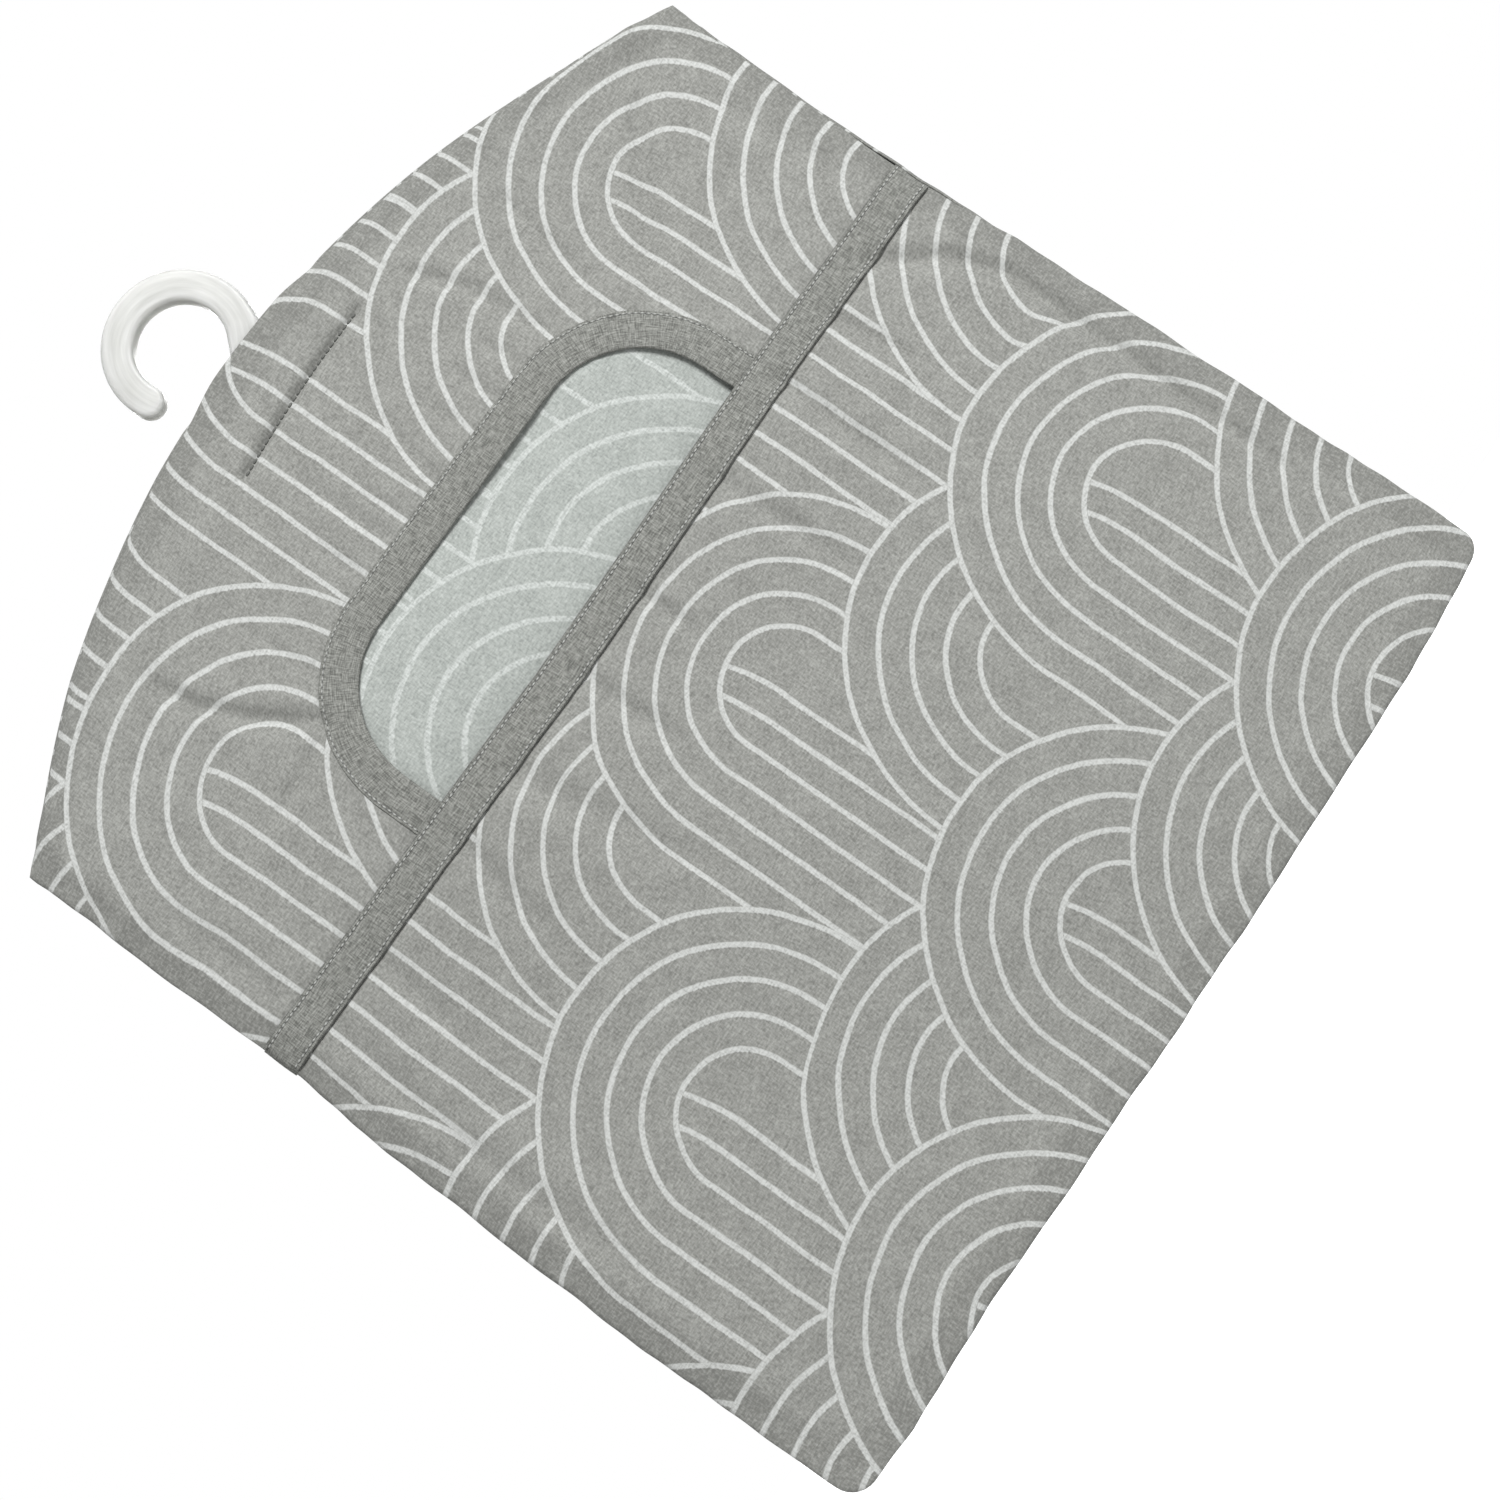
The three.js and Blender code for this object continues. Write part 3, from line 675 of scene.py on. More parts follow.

# %% [markdown]
# Tape, thread and plastic
# The binding is bias tape, cut at 45 degrees, so its threads cross the strip in a diagonal hatch. The thread
# on the tapes has a painted highlight on the crown of each stitch and painted shade where it dips into the
# needle's hole, and the other thread is dark all along. The hanger is milky plastic: light goes into it and
# comes out again, and its edges are painted greyer than its faces, as shade.

# %% Finishes of the tape and the thread
TAPE_CONTRAST, TAPE_MEAN, BIAS = 1.9, 1.29, math.radians(45)
PAINTED_LIGHT_FALL = 1.7


def bias_tape():
    finish, tree = new_finish("bias_tape")
    m = partial(maths, tree)
    cut = cut_millimetres(tree)
    speck = noise(tree, cut, 1.6, 2.0)
    hatch = m("MULTIPLY_ADD", speck, 0.5, crossed_threads(tree, cut, 2.4, 0.3, 2.0, BIAS))
    tone = toned(tree, hatch, TAPE_CONTRAST, TAPE_MEAN)
    dress(tree, {
        "Base Color": mixed(tree, tone, (0.128, 0.131, 0.12, 1), (0.352, 0.358, 0.333, 1)),
        "Roughness": m("MULTIPLY_ADD", hatch, -0.05, 0.97),
        "Normal": bump(tree, hatch, 0.5, 0.00015),
        **MATT_CLOTH,
    })
    return finish


def sewing_thread(name, low, high, painted_light_share):
    """The UV map of a stitch runs from one of its ends to the other, so its middle is the crown."""
    finish, tree = new_finish(name)
    m = partial(maths, tree)
    place = added(tree, "TexCoord").outputs
    twist = noise(tree, place["Object"], 2600.0, 2.0)
    from_end = m("PINGPONG", axes_of(tree, place["UV"])[1], 0.5)
    # painted light and shade: the crown of a stitch is lightened as if lit, its ends darkened as if in the
    # needle holes' shadow
    painted_crown_light = m("POWER", m("MULTIPLY", from_end, 2.0), PAINTED_LIGHT_FALL)
    tone = m("MULTIPLY_ADD", painted_crown_light, painted_light_share, m("MULTIPLY", twist, 1 - painted_light_share))
    dress(tree, {
        "Base Color": mixed(tree, tone, low, high),
        "Roughness": 0.8,
        "Normal": bump(tree, twist, 0.4, 0.0001),
    })
    return finish


tape = bias_tape()
thread = sewing_thread("sewing_thread", (0.07, 0.071, 0.067, 1), (0.21, 0.214, 0.2, 1), 0.0)
# near-black for the painted shadow in the needle holes, pale grey for the painted highlight on the crowns
tape_thread = sewing_thread("tape_thread", (0.012, 0.0122, 0.0115, 1), (0.54, 0.55, 0.525, 1), 0.85)
print("trim finishes:", tape.name, thread.name, tape_thread.name)


# %% Finish of the plastic
def milky_plastic():
    """Streaks run round the hook, as the plastic flowed into its mould."""
    finish, tree = new_finish("milky_plastic")
    m = partial(maths, tree)
    where = added(tree, "TexCoord").outputs
    place = axes_of(tree, where["Object"])
    x, z = place[0], m("ADD", place[2], HOOK_INNER / 1000)
    from_middle = m("SQRT", m("ADD", m("MULTIPLY", x, x), m("MULTIPLY", z, z)))
    round_hook = added(tree, "CombineXYZ")
    for socket, value, scale in zip(round_hook.inputs, (from_middle, x, z), (700.0, 60.0, 60.0)):
        feed(tree, socket, m("MULTIPLY", value, scale))
    flow = noise(tree, round_hook.outputs[0], 1.0, 3.0)
    # painted shade: side walls, whose normals turn away from front and back, get the greyer colour, standing
    # in for light lost in the plastic
    face = m("POWER", m("ABSOLUTE", axes_of(tree, where["Normal"])[1]), 0.6)
    tone = m("MULTIPLY_ADD", m("SUBTRACT", flow, 0.5), 1.3, m("MULTIPLY", face, 0.6), clamp=True)
    dress(tree, {
        "Base Color": mixed(tree, tone, (0.41, 0.413, 0.4, 1), (0.66, 0.664, 0.652, 1)),
        "Roughness": m("MULTIPLY_ADD", flow, 0.2, 0.25),
        "Normal": bump(tree, flow, 0.05, 0.0003),
        "Subsurface Weight": 0.9,
        "Subsurface Radius": (1.0, 1.0, 0.95),
        "Subsurface Scale": 0.012,
        "Specular IOR Level": 0.3,
    })
    return finish


plastic = milky_plastic()
print("hanger finish:", plastic.name)

# %% [markdown]
# Laying cloth
# A sheet starts as Blender's grid, a flat mesh of quads. Every vertex then moves to its place on the bag, and
# the UV map keeps where it lay in the cloth before it was sewn, so the print follows the surface. Solidify
# gives the sheet its thickness, with the wrong side as the second material.

# %% How a sheet is laid
EDGE_LINES = np.array((0, 0.1, 0.35, 0.75, 1.25, 2.0, 3.2, 5.0, 7.0))


def stations(low, high, step, fine_low=False, fine_high=False):
    """Grid lines from low to high, close together at an edge where the cloth rolls over."""
    start = low + EDGE_LINES if fine_low else np.array([low])
    end = high - EDGE_LINES[::-1] if fine_high else np.array([high])
    count = int(math.ceil((end[0] - start[-1]) / step))
    return np.concatenate((start, np.linspace(start[-1], end[0], count + 1)[1:-1], end))


def full_width(step):
    return stations(-HALF_WIDTH, HALF_WIDTH, step, True, True)


def lay_grid(name, columns, rows):
    """A flat grid, with the column and the row of each of its vertices."""
    bpy.ops.mesh.primitive_grid_add(x_subdivisions=len(columns) - 1, y_subdivisions=len(rows) - 1, size=2)
    sheet = bpy.context.object
    sheet.name = sheet.data.name = name
    flat = np.empty(len(sheet.data.vertices) * 3)
    sheet.data.vertices.foreach_get("co", flat)
    flat = flat.reshape(-1, 3)
    column = np.interp(flat[:, 0], np.linspace(-1, 1, len(columns)), columns)
    row = np.interp(flat[:, 1], np.linspace(-1, 1, len(rows)), rows)
    return sheet, column, row


def move_to(sheet, x, y, z, edge=FRONT_EDGE, peek=0.0):
    """Sets every vertex by its place in the flat pattern, with the roll and the sway of the sewn bag."""
    across, down = sway(x, y)
    x, y = drawn_in(x, y, edge)
    sheet.data.vertices.foreach_set("co", upright(x + across + peek, y + down, z).ravel())
    sheet.data.update()


print("across the bag:", len(full_width(2.0)), "grid lines")

# %% How a sheet gets its print and thickness
# width of the strip along the seam that gets painted shade
PAINTED_EDGE_WIDTH = (8, 12)


def write_cut(sheet, u, v):
    """Writes where each vertex lay in the cloth, in metres."""
    corners = np.empty(len(sheet.data.loops), dtype=np.int32)
    sheet.data.loops.foreach_get("vertex_index", corners)
    layer = sheet.data.uv_layers.active
    layer.name = "cut"
    layer.data.foreach_set("uv", (pairs(u, v)[corners] / 1000).ravel())


def write_marks(sheet, x, y, slip):
    """Marks the strip along the seam, over its allowance, that gets painted shade, and how far the second
    arches slip.
    """
    painted_edge_shade = 1 - smooth(edge_distance(x, y), *PAINTED_EDGE_WIDTH)
    for name, values in (("painted_edge_shade", painted_edge_shade), ("slip", slip)):
        layer = sheet.data.attributes.new(name, "FLOAT", "POINT")
        layer.data.foreach_set("value", values)


def thicken(sheet, thickness, *finishes):
    """Gives the sheet its thickness on the inner side and applies it."""
    for finish in finishes:
        sheet.data.materials.append(finish)
    wall = sheet.modifiers.new("wall", "SOLIDIFY")
    wall.thickness = thickness / 1000
    wall.offset = -1
    wall.material_offset = len(finishes) - 1
    bpy.ops.object.modifier_apply(modifier=wall.name)
    bpy.ops.object.shade_smooth()
    print(sheet.name, "has", len(sheet.data.polygons), "faces")


def round_corners(x, y):
    """Bends the grid's two lower corners to the round ones of the bag."""
    across = np.clip((np.abs(x) - (HALF_WIDTH - CORNER)) / CORNER, 0, 1)
    down = np.clip((CORNER - SIDE_HEIGHT - y) / CORNER, 0, 1)
    new_x = np.sign(x) * (HALF_WIDTH - CORNER + CORNER * across * np.sqrt(1 - down**2 / 2))
    new_y = CORNER - SIDE_HEIGHT - CORNER * down * np.sqrt(1 - across**2 / 2)
    both = (across > 0) & (down > 0)
    return np.where(both, new_x, x), np.where(both, new_y, y)


def edit_all():
    bpy.ops.object.mode_set(mode="EDIT")
    bpy.ops.mesh.select_all(action="SELECT")


print("the allowance shows to", PAINTED_EDGE_WIDTH[1], "mm from the seam")

# %% [markdown]
# The back panel
# The back is one whole piece, cut to the arched top. It is seen from behind and through the hand opening. Its
# columns run from right to left, so that its outer face is the one with the print. Where the band's thick end
# is caught in the seam, the back peeks out a little past the front.

# %% Lay the back panel
BACK_STEP = 2.0
PEEK, PEEK_ALONG, PEEK_IN = 0.9, 20, 6
BACK_PRINT_X, BACK_PRINT_Y = 42, 107
back_rows = stations(-SIDE_HEIGHT, TOP_RISE, BACK_STEP, True, True)
back, x, row = lay_grid("back_panel_cloth", full_width(BACK_STEP)[::-1], back_rows)
x, y = round_corners(x, row_y(x, row))
peek = PEEK * bell(y - BAND_END_Y, PEEK_ALONG) * np.exp(-(HALF_WIDTH - x) / PEEK_IN)
move_to(back, x, y, back_face(x, y), BACK_EDGE, peek)
write_cut(back, -(x + BACK_PRINT_X), y + BACK_PRINT_Y)
write_marks(back, x, y, np.zeros_like(x))
thicken(back, CLOTH, printed, wrong_side)

# %% [markdown]
# The front yoke
# The upper front has the hand opening. The sheet is laid whole, the faces inside the opening are deleted, and
# the vertices on the new edge move on to one smooth line, which the binding then covers. Sewing eases the
# cloth by a few millimetres, so the print is moved by as much.

# %% Lay the yoke
FRONT_STEP, STAY_STEP, CUT_EDGE, CUT_REACH = 1.5, 0.5, 3.0, 1.1
rows = stations(YOKE_BOTTOM, TOP_RISE, FRONT_STEP, False, True)
stay_rows = np.arange(STAY_Y - 3, STAY_Y + 3.1, STAY_STEP)
rows = np.concatenate((rows[rows < STAY_Y - 4], stay_rows, rows[rows > STAY_Y + 4]))
yoke, x, row = lay_grid("front_yoke_cloth", full_width(FRONT_STEP), rows)
y = row_y(x, row)
to_cut = CUT_EDGE - scoop_distance(x, y)
near = (np.abs(to_cut) < CUT_REACH) & (y > BAND_BOTTOM)
along_x, along_y = slope(scoop_distance, x, y)
step = np.where(near, to_cut, 0) / (2 * PROBE)
x, y = x + step * along_x, y + step * along_y
move_to(yoke, x, y, yoke_face(x, y))
print("the yoke's cut edge has", int(near.sum()), "vertices")

# %% Print the yoke and cut its opening
YOKE_EASE_ACROSS = (
    (-165, -140, -120, -100, -70, -45, 0, 60, 100, 120, 140, 165),
    (4.2, 3.2, 1.4, -0.6, -1.5, -0.5, 0.0, 0.0, 0.8, 1.5, -0.8, -1.5),
)
YOKE_EASE_SHARE = (-60, -20), (0.35, 1.0)
YOKE_EASE_UP = (-165, -120, -90, -45, 0, 45, 90, 140), (0.8, 0.6, -0.7, -2.7, -2.0, -1.2, -0.5, -0.3)
YOKE_EASE_LEFT = (-97, -65, -45, -15), (-4.5, -4.0, -2.7, 0.0)
LEFT_END_EASE, YOKE_SLIP = 2.4, 8.6
YOKE_STRETCH_X, YOKE_STRETCH_Y, YOKE_TILT, YOKE_TILT_X = 1.035 / 1.025, 1.06, 0.047, 8.5
YOKE_PRINT_X, YOKE_PRINT_Y, YOKE_ROW = 6.3 / 1.025, 19.2, 119
left_end = smooth(-x, 143, 165) * smooth(-y, 20, 45)
ease_x = x + np.interp(x, *YOKE_EASE_ACROSS) * np.interp(y, *YOKE_EASE_SHARE) + LEFT_END_EASE * left_end
ease_y = y + np.interp(x, *YOKE_EASE_UP) + np.interp(y, *YOKE_EASE_LEFT) * (1 - smooth(x, -60, -20))
tilt = YOKE_TILT * (ease_x - YOKE_TILT_X)
print_y = (ease_y - YOKE_PRINT_Y - tilt) / YOKE_STRETCH_Y + YOKE_ROW
write_cut(yoke, (ease_x - YOKE_PRINT_X) / YOKE_STRETCH_X, print_y)
write_marks(yoke, x, y, YOKE_SLIP * smooth(x, 88, 100))
inside = scoop_distance(x, y) < CUT_EDGE - 0.2
bpy.ops.object.mode_set(mode="EDIT")
bpy.ops.mesh.select_mode(type="FACE")
bpy.ops.mesh.select_all(action="DESELECT")
bpy.ops.object.mode_set(mode="OBJECT")
for polygon in yoke.data.polygons:
    polygon.select = any(inside[i] for i in polygon.vertices)
bpy.ops.object.mode_set(mode="EDIT")
bpy.ops.mesh.delete(type="FACE")
bpy.ops.object.mode_set(mode="OBJECT")
thicken(yoke, CLOTH, printed, wrong_side)

# %% [markdown]
# The pocket
# The lower front is a plain rectangle with round lower corners. Its raw top edge ends inside the fold of the
# band, and the stitches pull it in along the band's lower edge, which leaves a fine dark line there.

# %% Lay the pocket
PULL, PULL_WIDTH, PULL_SEAM = 1.0, 0.8, (0.5, 3)
POCKET_EASE_ACROSS = (
    (-165, -140, -80, -20, 10, 40, 100, 130, 165),
    (-0.3, -0.5, -1.6, -0.5, 0.0, 1.3, 1.7, 0.7, -0.8),
)
POCKET_EASE_UP = (-160, -140, -97), (0.0, -1.5, -3.0)
POCKET_EASE_SHARE = (-165, -50, 10, 40, 80, 130), (1.0, 1.0, 0.2, 0.4, 1.0, 0.5)
POCKET_PRINT_X, POCKET_PRINT_Y, POCKET_TILT, POCKET_TILT_X = 9, 154.1, 0.027, 10
RIGHT_SLIP, LEFT_SLIP = 3.5, 3.0
rows = stations(-SIDE_HEIGHT, BAND_BOTTOM - 3, FRONT_STEP, True, False)
pulled_rows = np.arange(BAND_BOTTOM - 2.6, BAND_BOTTOM + 1.5, 0.4)
rows = np.concatenate((rows, pulled_rows, (-94.0, -91.0, BAND_TOP - TAPE - GAP)))
pocket, x, y = lay_grid("front_pocket_cloth", full_width(FRONT_STEP), rows)
x, y = round_corners(x, y)
pulled_in = PULL * bell(y - BAND_BOTTOM, PULL_WIDTH) * smooth(edge_distance(x, y), *PULL_SEAM)
move_to(pocket, x, y, pocket_face(x, y) - pulled_in)
ease_x = x + np.interp(x, *POCKET_EASE_ACROSS)
ease_y = y + np.interp(y, *POCKET_EASE_UP) * np.interp(x, *POCKET_EASE_SHARE)
tilt = POCKET_TILT * (x - POCKET_TILT_X)
write_cut(pocket, ease_x - POCKET_PRINT_X, ease_y + POCKET_PRINT_Y - tilt)
upper_right = smooth(x, 88, 100) * smooth(y, -160, -145)
lower_left = smooth(x, -125, -110) * smooth(-x, 0, 15) * smooth(-y, 212, 224)
write_marks(pocket, x, y, RIGHT_SLIP * upper_right + LEFT_SLIP * lower_left)
thicken(pocket, CLOTH, printed, wrong_side)

# %% [markdown]
# The bound edges
# Bias tape is folded over each raw edge and sewn down. Its section is a flattened U: a leg behind the cloth,
# a round fold at the edge, and a leg in front, a little padded between the stitches and turned under at its
# own edge. The same section serves both tapes: one round the opening, the other straight across the bag.

# %% The section of a folded tape
FOLD = TAPE + GAP + CLOTH / 2
TAPE_WALL = TAPE * 0.9
PADDING, GROOVE, GROOVE_WIDTH, TURN_UNDER = 0.32, 0.1, 0.45, 0.4


def tape_height(out, width, rows_of_stitches, fullness=1.0):
    """Height of the front leg above the cloth, at a distance out from the fold."""
    first = min(rows_of_stitches) if len(rows_of_stitches) > 1 else 1.0
    pad = np.sin(np.pi * np.clip((out - first) / (max(rows_of_stitches) - first), 0, 1)) ** 0.8
    grooves = sum(bell(out - at, GROOVE_WIDTH) for at in rows_of_stitches)
    edge = np.sqrt(np.maximum(0, 1 - np.clip((out - width + TURN_UNDER) / TURN_UNDER, 0, 1) ** 2))
    return (TAPE + GAP + PADDING * fullness * pad - GROOVE * grooves) * (0.3 + 0.7 * edge)


def tape_section(width, rows_of_stitches):
    """Distances out from the fold on the front leg, angles round the fold, and distances on the back leg."""
    close = np.concatenate([at + np.array((-0.8, -0.4, 0, 0.4, 0.8)) for at in rows_of_stitches])
    plain = np.linspace(1.6, width - 1.0, 9)
    plain = plain[[np.abs(close - p).min() > 0.5 for p in plain]]
    tip = width - np.array((0.6, 0.35, 0.15, 0.0))
    front = np.sort(np.concatenate((close, plain, tip)))
    angles = np.radians(np.linspace(80, -80, 9))
    behind = np.linspace(FOLD + 0.4, width, 6)
    return front, angles, behind


def run_along(points):
    """The length along a line of points, at each of them."""
    return np.concatenate(([0], np.cumsum(np.linalg.norm(np.diff(points, axis=0), axis=1))))


print("the fold stands", round(2 * FOLD, 2), "mm thick")


# %% Lay a folded tape
def lay_tape(name, base, outward, face, width, rows_of_stitches, fullness):
    """base and outward are the fold line and the way out from it; face is the layer that it is sewn to."""
    front, angles, behind = tape_section(width, rows_of_stitches)
    outs = np.concatenate((front[::-1], FOLD * (1 - np.cos(angles)), behind))
    legs = np.repeat((1, 0, -1), (len(front), len(angles), len(behind)))
    turns = np.concatenate((0 * front, np.sin(angles), 0 * behind))
    strip, along, section = lay_grid(name, np.arange(len(base)), np.arange(len(outs)))
    along, section = np.rint(along).astype(int), np.rint(section).astype(int)
    out, leg = outs[section], legs[section]
    x = base[along, 0] + out * outward[along, 0]
    y = base[along, 1] + out * outward[along, 1]
    in_front = tape_height(out, width, rows_of_stitches, fullness[along])
    above = np.where(leg > 0, in_front, -CLOTH - GAP - TAPE)
    above = np.where(leg == 0, -CLOTH / 2 + FOLD * turns[section], above)
    move_to(strip, x, y, face(x, y, above))
    run = run_along(base + width / 2 * outward)
    width_run = run_along(pairs(outs, turns * FOLD))
    write_cut(strip, run[along], width_run[section])
    return strip, run[-1], width_run[-1]


def scoop_line(offset, step):
    """Points round the opening at an offset, from its lower left to its lower right, and the way out."""
    arc_x, arc_y = SCOOP_HALF - SCOOP_RADIUS, SCOOP_TOP - SCOOP_RADIUS
    side_y = np.arange(YOKE_BOTTOM, arc_y, step)
    angle = np.arange(math.pi, math.pi / 2, -step / (SCOOP_RADIUS + BINDING_WIDTH / 2))
    top_x = np.linspace(-arc_x, arc_x, int(2 * arc_x / step) | 1)
    side = pairs(-SCOOP_HALF, side_y)
    side_way = pairs(-1.0, 0 * side_y)
    arc_way = pairs(np.cos(angle), np.sin(angle))
    left = np.concatenate((side, np.array((-arc_x, arc_y)) + SCOOP_RADIUS * arc_way))
    left_way = np.concatenate((side_way, arc_way))
    top = pairs(top_x, SCOOP_TOP)
    top_way = pairs(0 * top_x, 1.0)
    mirror = np.array((-1, 1))
    base = np.concatenate((left, top, left[::-1] * mirror))
    outward = np.concatenate((left_way, top_way, left_way[::-1] * mirror))
    return base + offset * outward, outward


print("points round the opening:", len(scoop_line(0, 1.2)[0]))

# %% Bind the opening
SCOOP_ROWS = (BINDING_WIDTH - 1.1,)
TUCK, TUCK_WIDTH, TUCK_DEPTH = ((-81, -62), (-82, -73), (-80.5, -80), (-75, -89)), 1.3, 0.8


def binding_face(x, y, above):
    """The tape takes up its extra length in one small tuck low on the left."""
    return yoke_face(x, y, above + np.where(above > 0, crease(x, y, TUCK, TUCK_WIDTH, TUCK_DEPTH), 0))


base, outward = scoop_line(0.0, 1.2)
fullness = smooth(base[:, 1], BAND_TOP, BAND_TOP + 8)
binding, binding_length, binding_cut = lay_tape(
    "scoop_binding_tape", base, outward, binding_face, BINDING_WIDTH, SCOOP_ROWS, fullness
)
edit_all()
bpy.ops.mesh.flip_normals()
bpy.ops.object.mode_set(mode="OBJECT")
thicken(binding, TAPE_WALL, tape)
print("tape round the opening:", round(binding_length), "mm long, cut", round(binding_cut, 1), "mm wide")

# %% Bind the top of the pocket
BAND_WIDTH = BAND_TOP - BAND_BOTTOM
BAND_ROWS = (0.9, BAND_WIDTH - 1.3)
band_x = full_width(FRONT_STEP)
base = pairs(band_x, BAND_TOP)
outward = pairs(0 * band_x, -1.0)
band, band_length, band_cut = lay_tape(
    "cross_band_tape", base, outward, pocket_face, BAND_WIDTH, BAND_ROWS, np.ones(len(band_x))
)
thicken(band, TAPE_WALL, tape)
print("tape across the bag:", round(band_length), "mm long, cut", round(band_cut, 1), "mm wide")

# %% [markdown]
# The stitches
# A lockstitch shows as short bars of thread that dip into the cloth at both ends. One stitch is modelled from
# a small sphere, drawn out and bent, and copied along each row, so that every row is one piece of many
# stitches. A row has its own pitch, length and thickness of stitch, in that order.

# %% Model one stitch
STITCH_BEND = 0.9
bpy.ops.mesh.primitive_uv_sphere_add(segments=6, ring_count=6, radius=0.5)
one_stitch = bpy.context.object
edit_all()
bpy.ops.transform.rotate(value=math.pi / 2, orient_axis="Y", center_override=(0, 0, 0))
bpy.ops.object.mode_set(mode="OBJECT")
for vertex in one_stitch.data.vertices:
    vertex.co.z -= STITCH_BEND * vertex.co.x**2
bpy.ops.object.shade_smooth()
one_stitch.data.materials.append(thread)
print("one stitch has", len(one_stitch.data.polygons), "faces")


# %% Sew a row
def joined(pieces, name):
    bpy.ops.object.select_all(action="DESELECT")
    for piece in pieces:
        piece.select_set(True)
    bpy.context.view_layer.objects.active = pieces[0]
    bpy.ops.object.join()
    whole = bpy.context.object
    whole.name = whole.data.name = name
    return whole


def sew(name, plan, height, stitch, finish):
    """Copies the stitch along points of the flat pattern, each at its height, and joins the copies."""
    pitch, length, thick = stitch
    across, down = sway(plan[:, 0], plan[:, 1])
    points = upright(plan[:, 0] + across, plan[:, 1] + down, height)
    run = run_along(points)
    count = int(run[-1] * 1000 / pitch)
    reach = length / 2000
    size = Matrix.Diagonal((length / 1000, thick / 1000, thick / 1000))
    copies = []
    for i in range(count):
        middle = run[-1] * (i + 0.5) / count
        ends = [Vector([np.interp(middle + s * reach, run, points[:, k]) for k in range(3)]) for s in (-1, 1)]
        along = (ends[1] - ends[0]).normalized()
        side = Vector((0, -1, 0)).cross(along).normalized()
        turn = Matrix((along, side, along.cross(side))).transposed()
        copy = one_stitch.copy()
        copy.data = one_stitch.data.copy()
        copy.data.transform(Matrix.Translation((ends[0] + ends[1]) / 2) @ (turn @ size).to_4x4())
        scene.collection.objects.link(copy)
        copies.append(copy)
    row = joined(copies, name)
    row.data.materials[0] = finish
    print(name, "has", count, "stitches")
    return row


# %% Sew the tapes down
BAND_STITCH, BAND_PROUD = (1.9, 2.2, 0.62), 0.18
SCOOP_STITCH, SCOOP_PROUD = (1.9, 2.2, 0.55), 0.15
band_reach = HALF_WIDTH - 1.5
band_line = np.linspace(-band_reach, band_reach, 400)
band_rows = []
for name, out in zip(("band_upper_stitches", "band_lower_stitches"), BAND_ROWS):
    plan = pairs(band_line, BAND_TOP - out)
    above = float(tape_height(out, BAND_WIDTH, BAND_ROWS)) + BAND_PROUD
    band_rows.append(sew(name, plan, pocket_face(*plan.T, above), BAND_STITCH, tape_thread))
plan = scoop_line(SCOOP_ROWS[0], 1.0)[0]
plan = plan[plan[:, 1] > BAND_TOP + 0.5]
above = float(tape_height(SCOOP_ROWS[0], BINDING_WIDTH, SCOOP_ROWS)) + SCOOP_PROUD
scoop_row = sew("scoop_stitches", plan, yoke_face(*plan.T, above), SCOOP_STITCH, tape_thread)

# %% Sew the stay row and the outer seam
STAY_STITCH, STAY_PROUD = (2.2, 2.0, 1.0), 0.3
SEAM_STITCH, SEAM_INSET = (2.6, 2.0, 0.45), 0.7
SEAM_LEFT_END, SEAM_RIGHT_END = -30, 38
stay_x = np.linspace(-STAY_HALF, STAY_HALF, 120)
plan = pairs(stay_x, stay_y(stay_x))
stay_row = sew("hanger_stay_stitches", plan, yoke_face(*plan.T, STAY_PROUD), STAY_STITCH, thread)
side_x, corner_x = HALF_WIDTH - SEAM_INSET, HALF_WIDTH - CORNER
side_y = np.linspace(0, CORNER - SIDE_HEIGHT, 300)
foot_x = np.linspace(-corner_x, corner_x, 300)
bend = np.linspace(0, math.pi / 2, 12)
bend_in, bend_out = (CORNER - SEAM_INSET) * np.cos(bend), (CORNER - SEAM_INSET) * np.sin(bend)
arc_left = np.linspace(SEAM_LEFT_END, -side_x, 150)
arc_right = np.linspace(side_x, SEAM_RIGHT_END, 150)
plan = np.concatenate((
    pairs(arc_left, top_y(arc_left) - SEAM_INSET),
    pairs(-side_x, side_y)[1:],
    pairs(-corner_x - bend_in, CORNER - SIDE_HEIGHT - bend_out)[1:],
    pairs(foot_x, SEAM_INSET - SIDE_HEIGHT)[1:],
    pairs(corner_x + bend_out, CORNER - SIDE_HEIGHT - bend_in)[1:],
    pairs(side_x, side_y[::-1])[1:],
    pairs(arc_right, top_y(arc_right) - SEAM_INSET)[1:],
))
seam_row = sew("perimeter_seam_stitches", plan, np.zeros(len(plan)), SEAM_STITCH, thread)
bpy.data.objects.remove(one_stitch)

# %% [markdown]
# The hanger
# The hanger is one plastic moulding: a flat hook, a flared neck and two arms with hollows on both faces, so
# that the arms are an I in section and use little plastic. A ring of vertices is set along its outline,
# filled, drawn out to its depth and rounded with a Bevel modifier. The hollows are cut with one Boolean, and
# a Weighted Normal modifier keeps the flat faces flat beside their rounded edges.

# %% Draw the outline of the hanger
ARM_TOP, ARM_BOTTOM, DEPTH = TOP_RADIUS - 5.5, TOP_RADIUS - 15.5, 6.0
ARM_END_X, ARM_END_RADIUS, ARM_CHORD = HALF_WIDTH - 20, 5.0, 3.0
NECK_FILLET = 6.0
TIP_ANGLE, INNER_ANGLE, OUTER_ANGLE = math.radians(187), math.radians(-43), math.radians(-21)
middle, hook = (0.0, TOP_CENTRE), (HOOK_X, HOOK_Y)


def at_angle(centre, radius, angle):
    return pairs(centre[0] + radius * np.cos(angle), centre[1] + radius * np.sin(angle))


def arc_points(centre, radius, start, end, chord=1.0):
    steps = max(3, int(abs(end - start) * radius / chord))
    return at_angle(centre, radius, np.linspace(start, end, steps + 1))


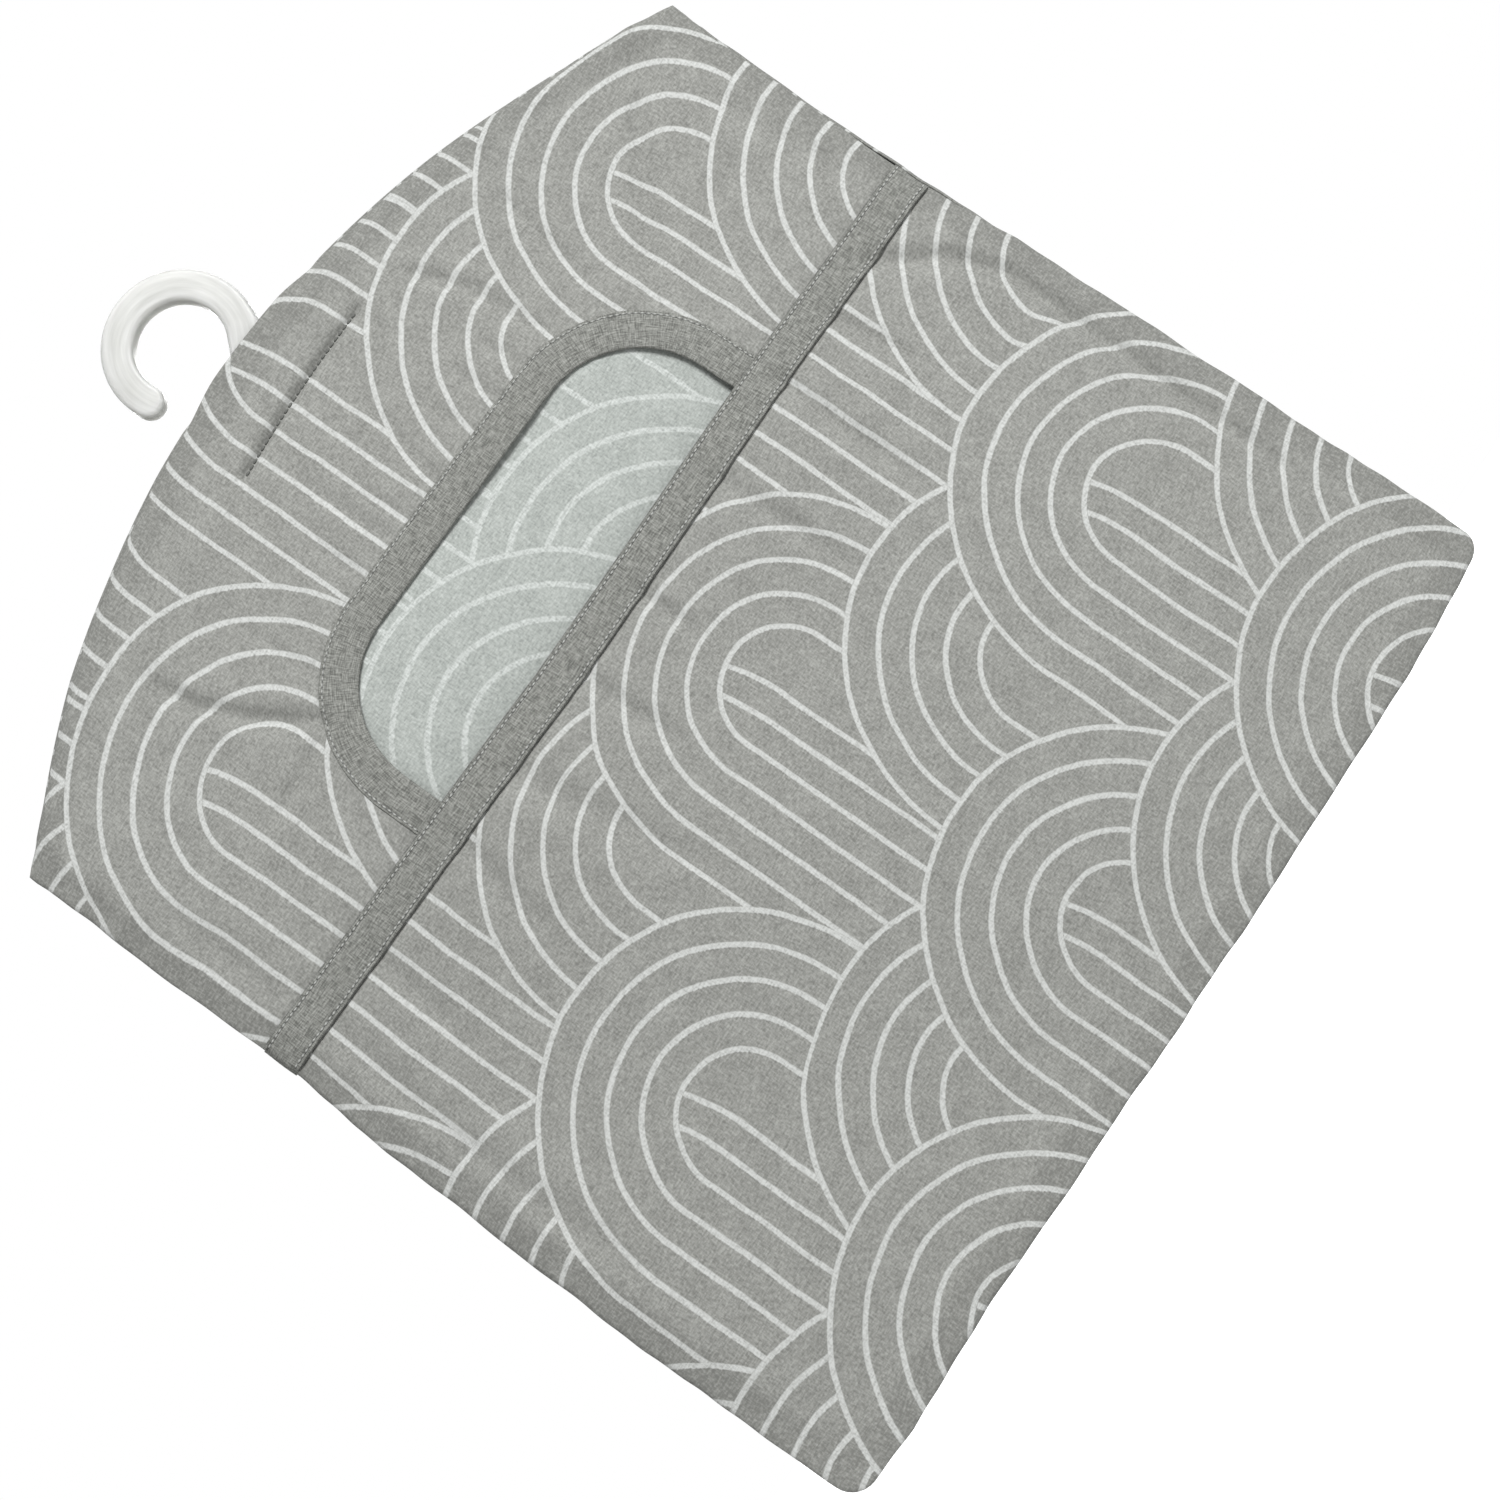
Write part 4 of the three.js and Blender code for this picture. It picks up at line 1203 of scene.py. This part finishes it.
def neck_side(radius, angle, hand):
    """The straight side of the neck below the hook, rounded into the top of an arm."""
    start = at_angle(hook, radius, angle)
    down = np.array((math.sin(angle), -math.cos(angle)))
    corner = start + down * (start[1] - TOP_CENTRE - ARM_TOP) / -down[1]
    arm = math.acos((corner[0] + hand * NECK_FILLET) / ARM_TOP)
    end = at_angle(middle, ARM_TOP, arm)
    t = np.linspace(0, 1, 9)[:, None]
    return (1 - t) ** 2 * (corner - down * NECK_FILLET) + 2 * t * (1 - t) * corner + t**2 * end, arm


arm_end = math.acos(ARM_END_X / (ARM_TOP - ARM_END_RADIUS))
right_end = at_angle(middle, ARM_TOP - ARM_END_RADIUS, arm_end)
tip = at_angle(hook, (HOOK_INNER + HOOK_OUTER) / 2, TIP_ANGLE)
inner_side, left_arm = neck_side(HOOK_INNER, INNER_ANGLE, -1)
outer_side, right_arm = neck_side(HOOK_OUTER, OUTER_ANGLE, 1)
outline = np.concatenate((
    arc_points(middle, ARM_TOP, right_arm, arm_end, ARM_CHORD),
    arc_points(right_end, ARM_END_RADIUS, arm_end, arm_end - math.pi)[1:],
    arc_points(middle, ARM_BOTTOM, arm_end, math.pi - arm_end, ARM_CHORD)[1:],
    arc_points(right_end * (-1, 1), ARM_END_RADIUS, 2 * math.pi - arm_end, math.pi - arm_end)[1:],
    arc_points(middle, ARM_TOP, math.pi - arm_end, left_arm, ARM_CHORD)[1:],
    inner_side[::-1][1:],
    arc_points(hook, HOOK_INNER, INNER_ANGLE, TIP_ANGLE),
    arc_points(tip, (HOOK_OUTER - HOOK_INNER) / 2, TIP_ANGLE + math.pi, TIP_ANGLE)[1:],
    arc_points(hook, HOOK_OUTER, TIP_ANGLE, OUTER_ANGLE)[1:],
    outer_side[:-1],
))
print("the outline has", len(outline), "points")

# %% Mould the hanger
bpy.ops.mesh.primitive_circle_add(vertices=len(outline), radius=0.1, fill_type="NOTHING")
hanger = bpy.context.object
hanger.name = hanger.data.name = "hanger_moulding"
front = upright(outline[:, 0], outline[:, 1], np.full(len(outline), DEPTH / 2))
hanger.data.vertices.foreach_set("co", front.ravel())
edit_all()
bpy.ops.mesh.edge_face_add()
bpy.ops.mesh.extrude_region_move(TRANSFORM_OT_translate={"value": (0, DEPTH / 1000, 0)})
bpy.ops.mesh.select_all(action="SELECT")
bpy.ops.mesh.normals_make_consistent(inside=False)
bpy.ops.object.mode_set(mode="OBJECT")
rounding = hanger.modifiers.new("rounding", "BEVEL")
rounding.width = 0.0013
rounding.segments = 5
rounding.limit_method = "ANGLE"
rounding.angle_limit = math.radians(50)
bpy.ops.object.modifier_apply(modifier=rounding.name)
print("rounded moulding:", len(hanger.data.polygons), "faces")

# %% Hollow the arms
RIM, HOLLOW, RIB, HOLLOWS, FIRST_HOLLOW_X = 2.2, 1.7, 1.6, 5, 18
outer, inner = ARM_TOP - RIM, ARM_BOTTOM + RIM
first = math.acos(FIRST_HOLLOW_X / outer)
pitch = (first - arm_end + RIB / outer) / HOLLOWS
sweep = pitch - RIB / outer
pivot = Vector(upright(*middle, 0.0))


def hollow_cutter(angle, hand, side):
    """A square across the arm, spun about the arm's centre; hand is right or left and side front or back."""
    bpy.ops.mesh.primitive_plane_add(size=1)
    cutter = bpy.context.object
    corners = np.array([at_angle(middle, radius, angle) * (hand, 1) for radius in (inner, outer)])
    depths = side * np.array((DEPTH / 2 - HOLLOW, DEPTH / 2 + HOLLOW))
    places = [upright(*corner, z) for z in depths for corner in corners]
    cutter.data.vertices.foreach_set("co", np.array(places).ravel())
    edit_all()
    bpy.ops.mesh.spin(steps=8, angle=-hand * sweep, center=pivot, axis=(0, 1, 0))
    bpy.ops.mesh.select_all(action="SELECT")
    bpy.ops.mesh.remove_doubles(threshold=1e-6)
    bpy.ops.mesh.normals_make_consistent(inside=False)
    bpy.ops.object.mode_set(mode="OBJECT")
    return cutter


starts = [first - i * pitch for i in range(HOLLOWS)]
cutters = [hollow_cutter(angle, hand, side) for angle in starts for hand in (1, -1) for side in (1, -1)]
hollows = joined(cutters, "hollows")
print("hollows to cut:", len(cutters), "with", len(hollows.data.polygons), "faces")

# %% Cut them and finish the surface
bpy.ops.object.select_all(action="DESELECT")
hanger.select_set(True)
bpy.context.view_layer.objects.active = hanger
cut = hanger.modifiers.new("hollows", "BOOLEAN")
cut.operation = "DIFFERENCE"
cut.object = hollows
cut.solver = "EXACT"
bpy.ops.object.modifier_apply(modifier=cut.name)
bpy.data.objects.remove(hollows)
bpy.ops.object.shade_smooth_by_angle(angle=math.radians(35))
flatten = hanger.modifiers.new("flat_faces", "WEIGHTED_NORMAL")
flatten.keep_sharp = True
bpy.ops.object.modifier_apply(modifier=flatten.name)
hanger.data.materials.append(plastic)
print("finished hanger:", len(hanger.data.polygons), "faces")

# %% [markdown]
# Joining the frame
# Every piece stands for one solid of the CAD model, moves with its body, and hides that solid. The table also
# lists a finish slot for each piece.

# %% Hang the pieces on the frame
stands_for = (
    (hanger, "hanger", "hanger", "hanger_plastic"),
    (back, "bag", "back_panel", "printed_cotton"),
    (yoke, "bag", "front_yoke", "printed_cotton"),
    (pocket, "bag", "front_pocket", "printed_cotton"),
    (binding, "bag", "scoop_binding", "plain_tape"),
    (band, "bag", "cross_band", "plain_tape"),
    (seam_row, "bag", "perimeter_seam_stitching", "thread"),
    (stay_row, "bag", "hanger_stay_stitching", "thread"),
    (scoop_row, "bag", "scoop_stitching", "thread"),
    (band_rows[0], "bag", "band_upper_stitching", "thread"),
    (band_rows[1], "bag", "band_lower_stitching", "thread"),
)
for piece, body, node, slot in stands_for:
    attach(piece, body)
    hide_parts(node)
print("pieces on the frame:", len(stands_for))

# %% The cloth pieces
print("cloth pieces: 5")
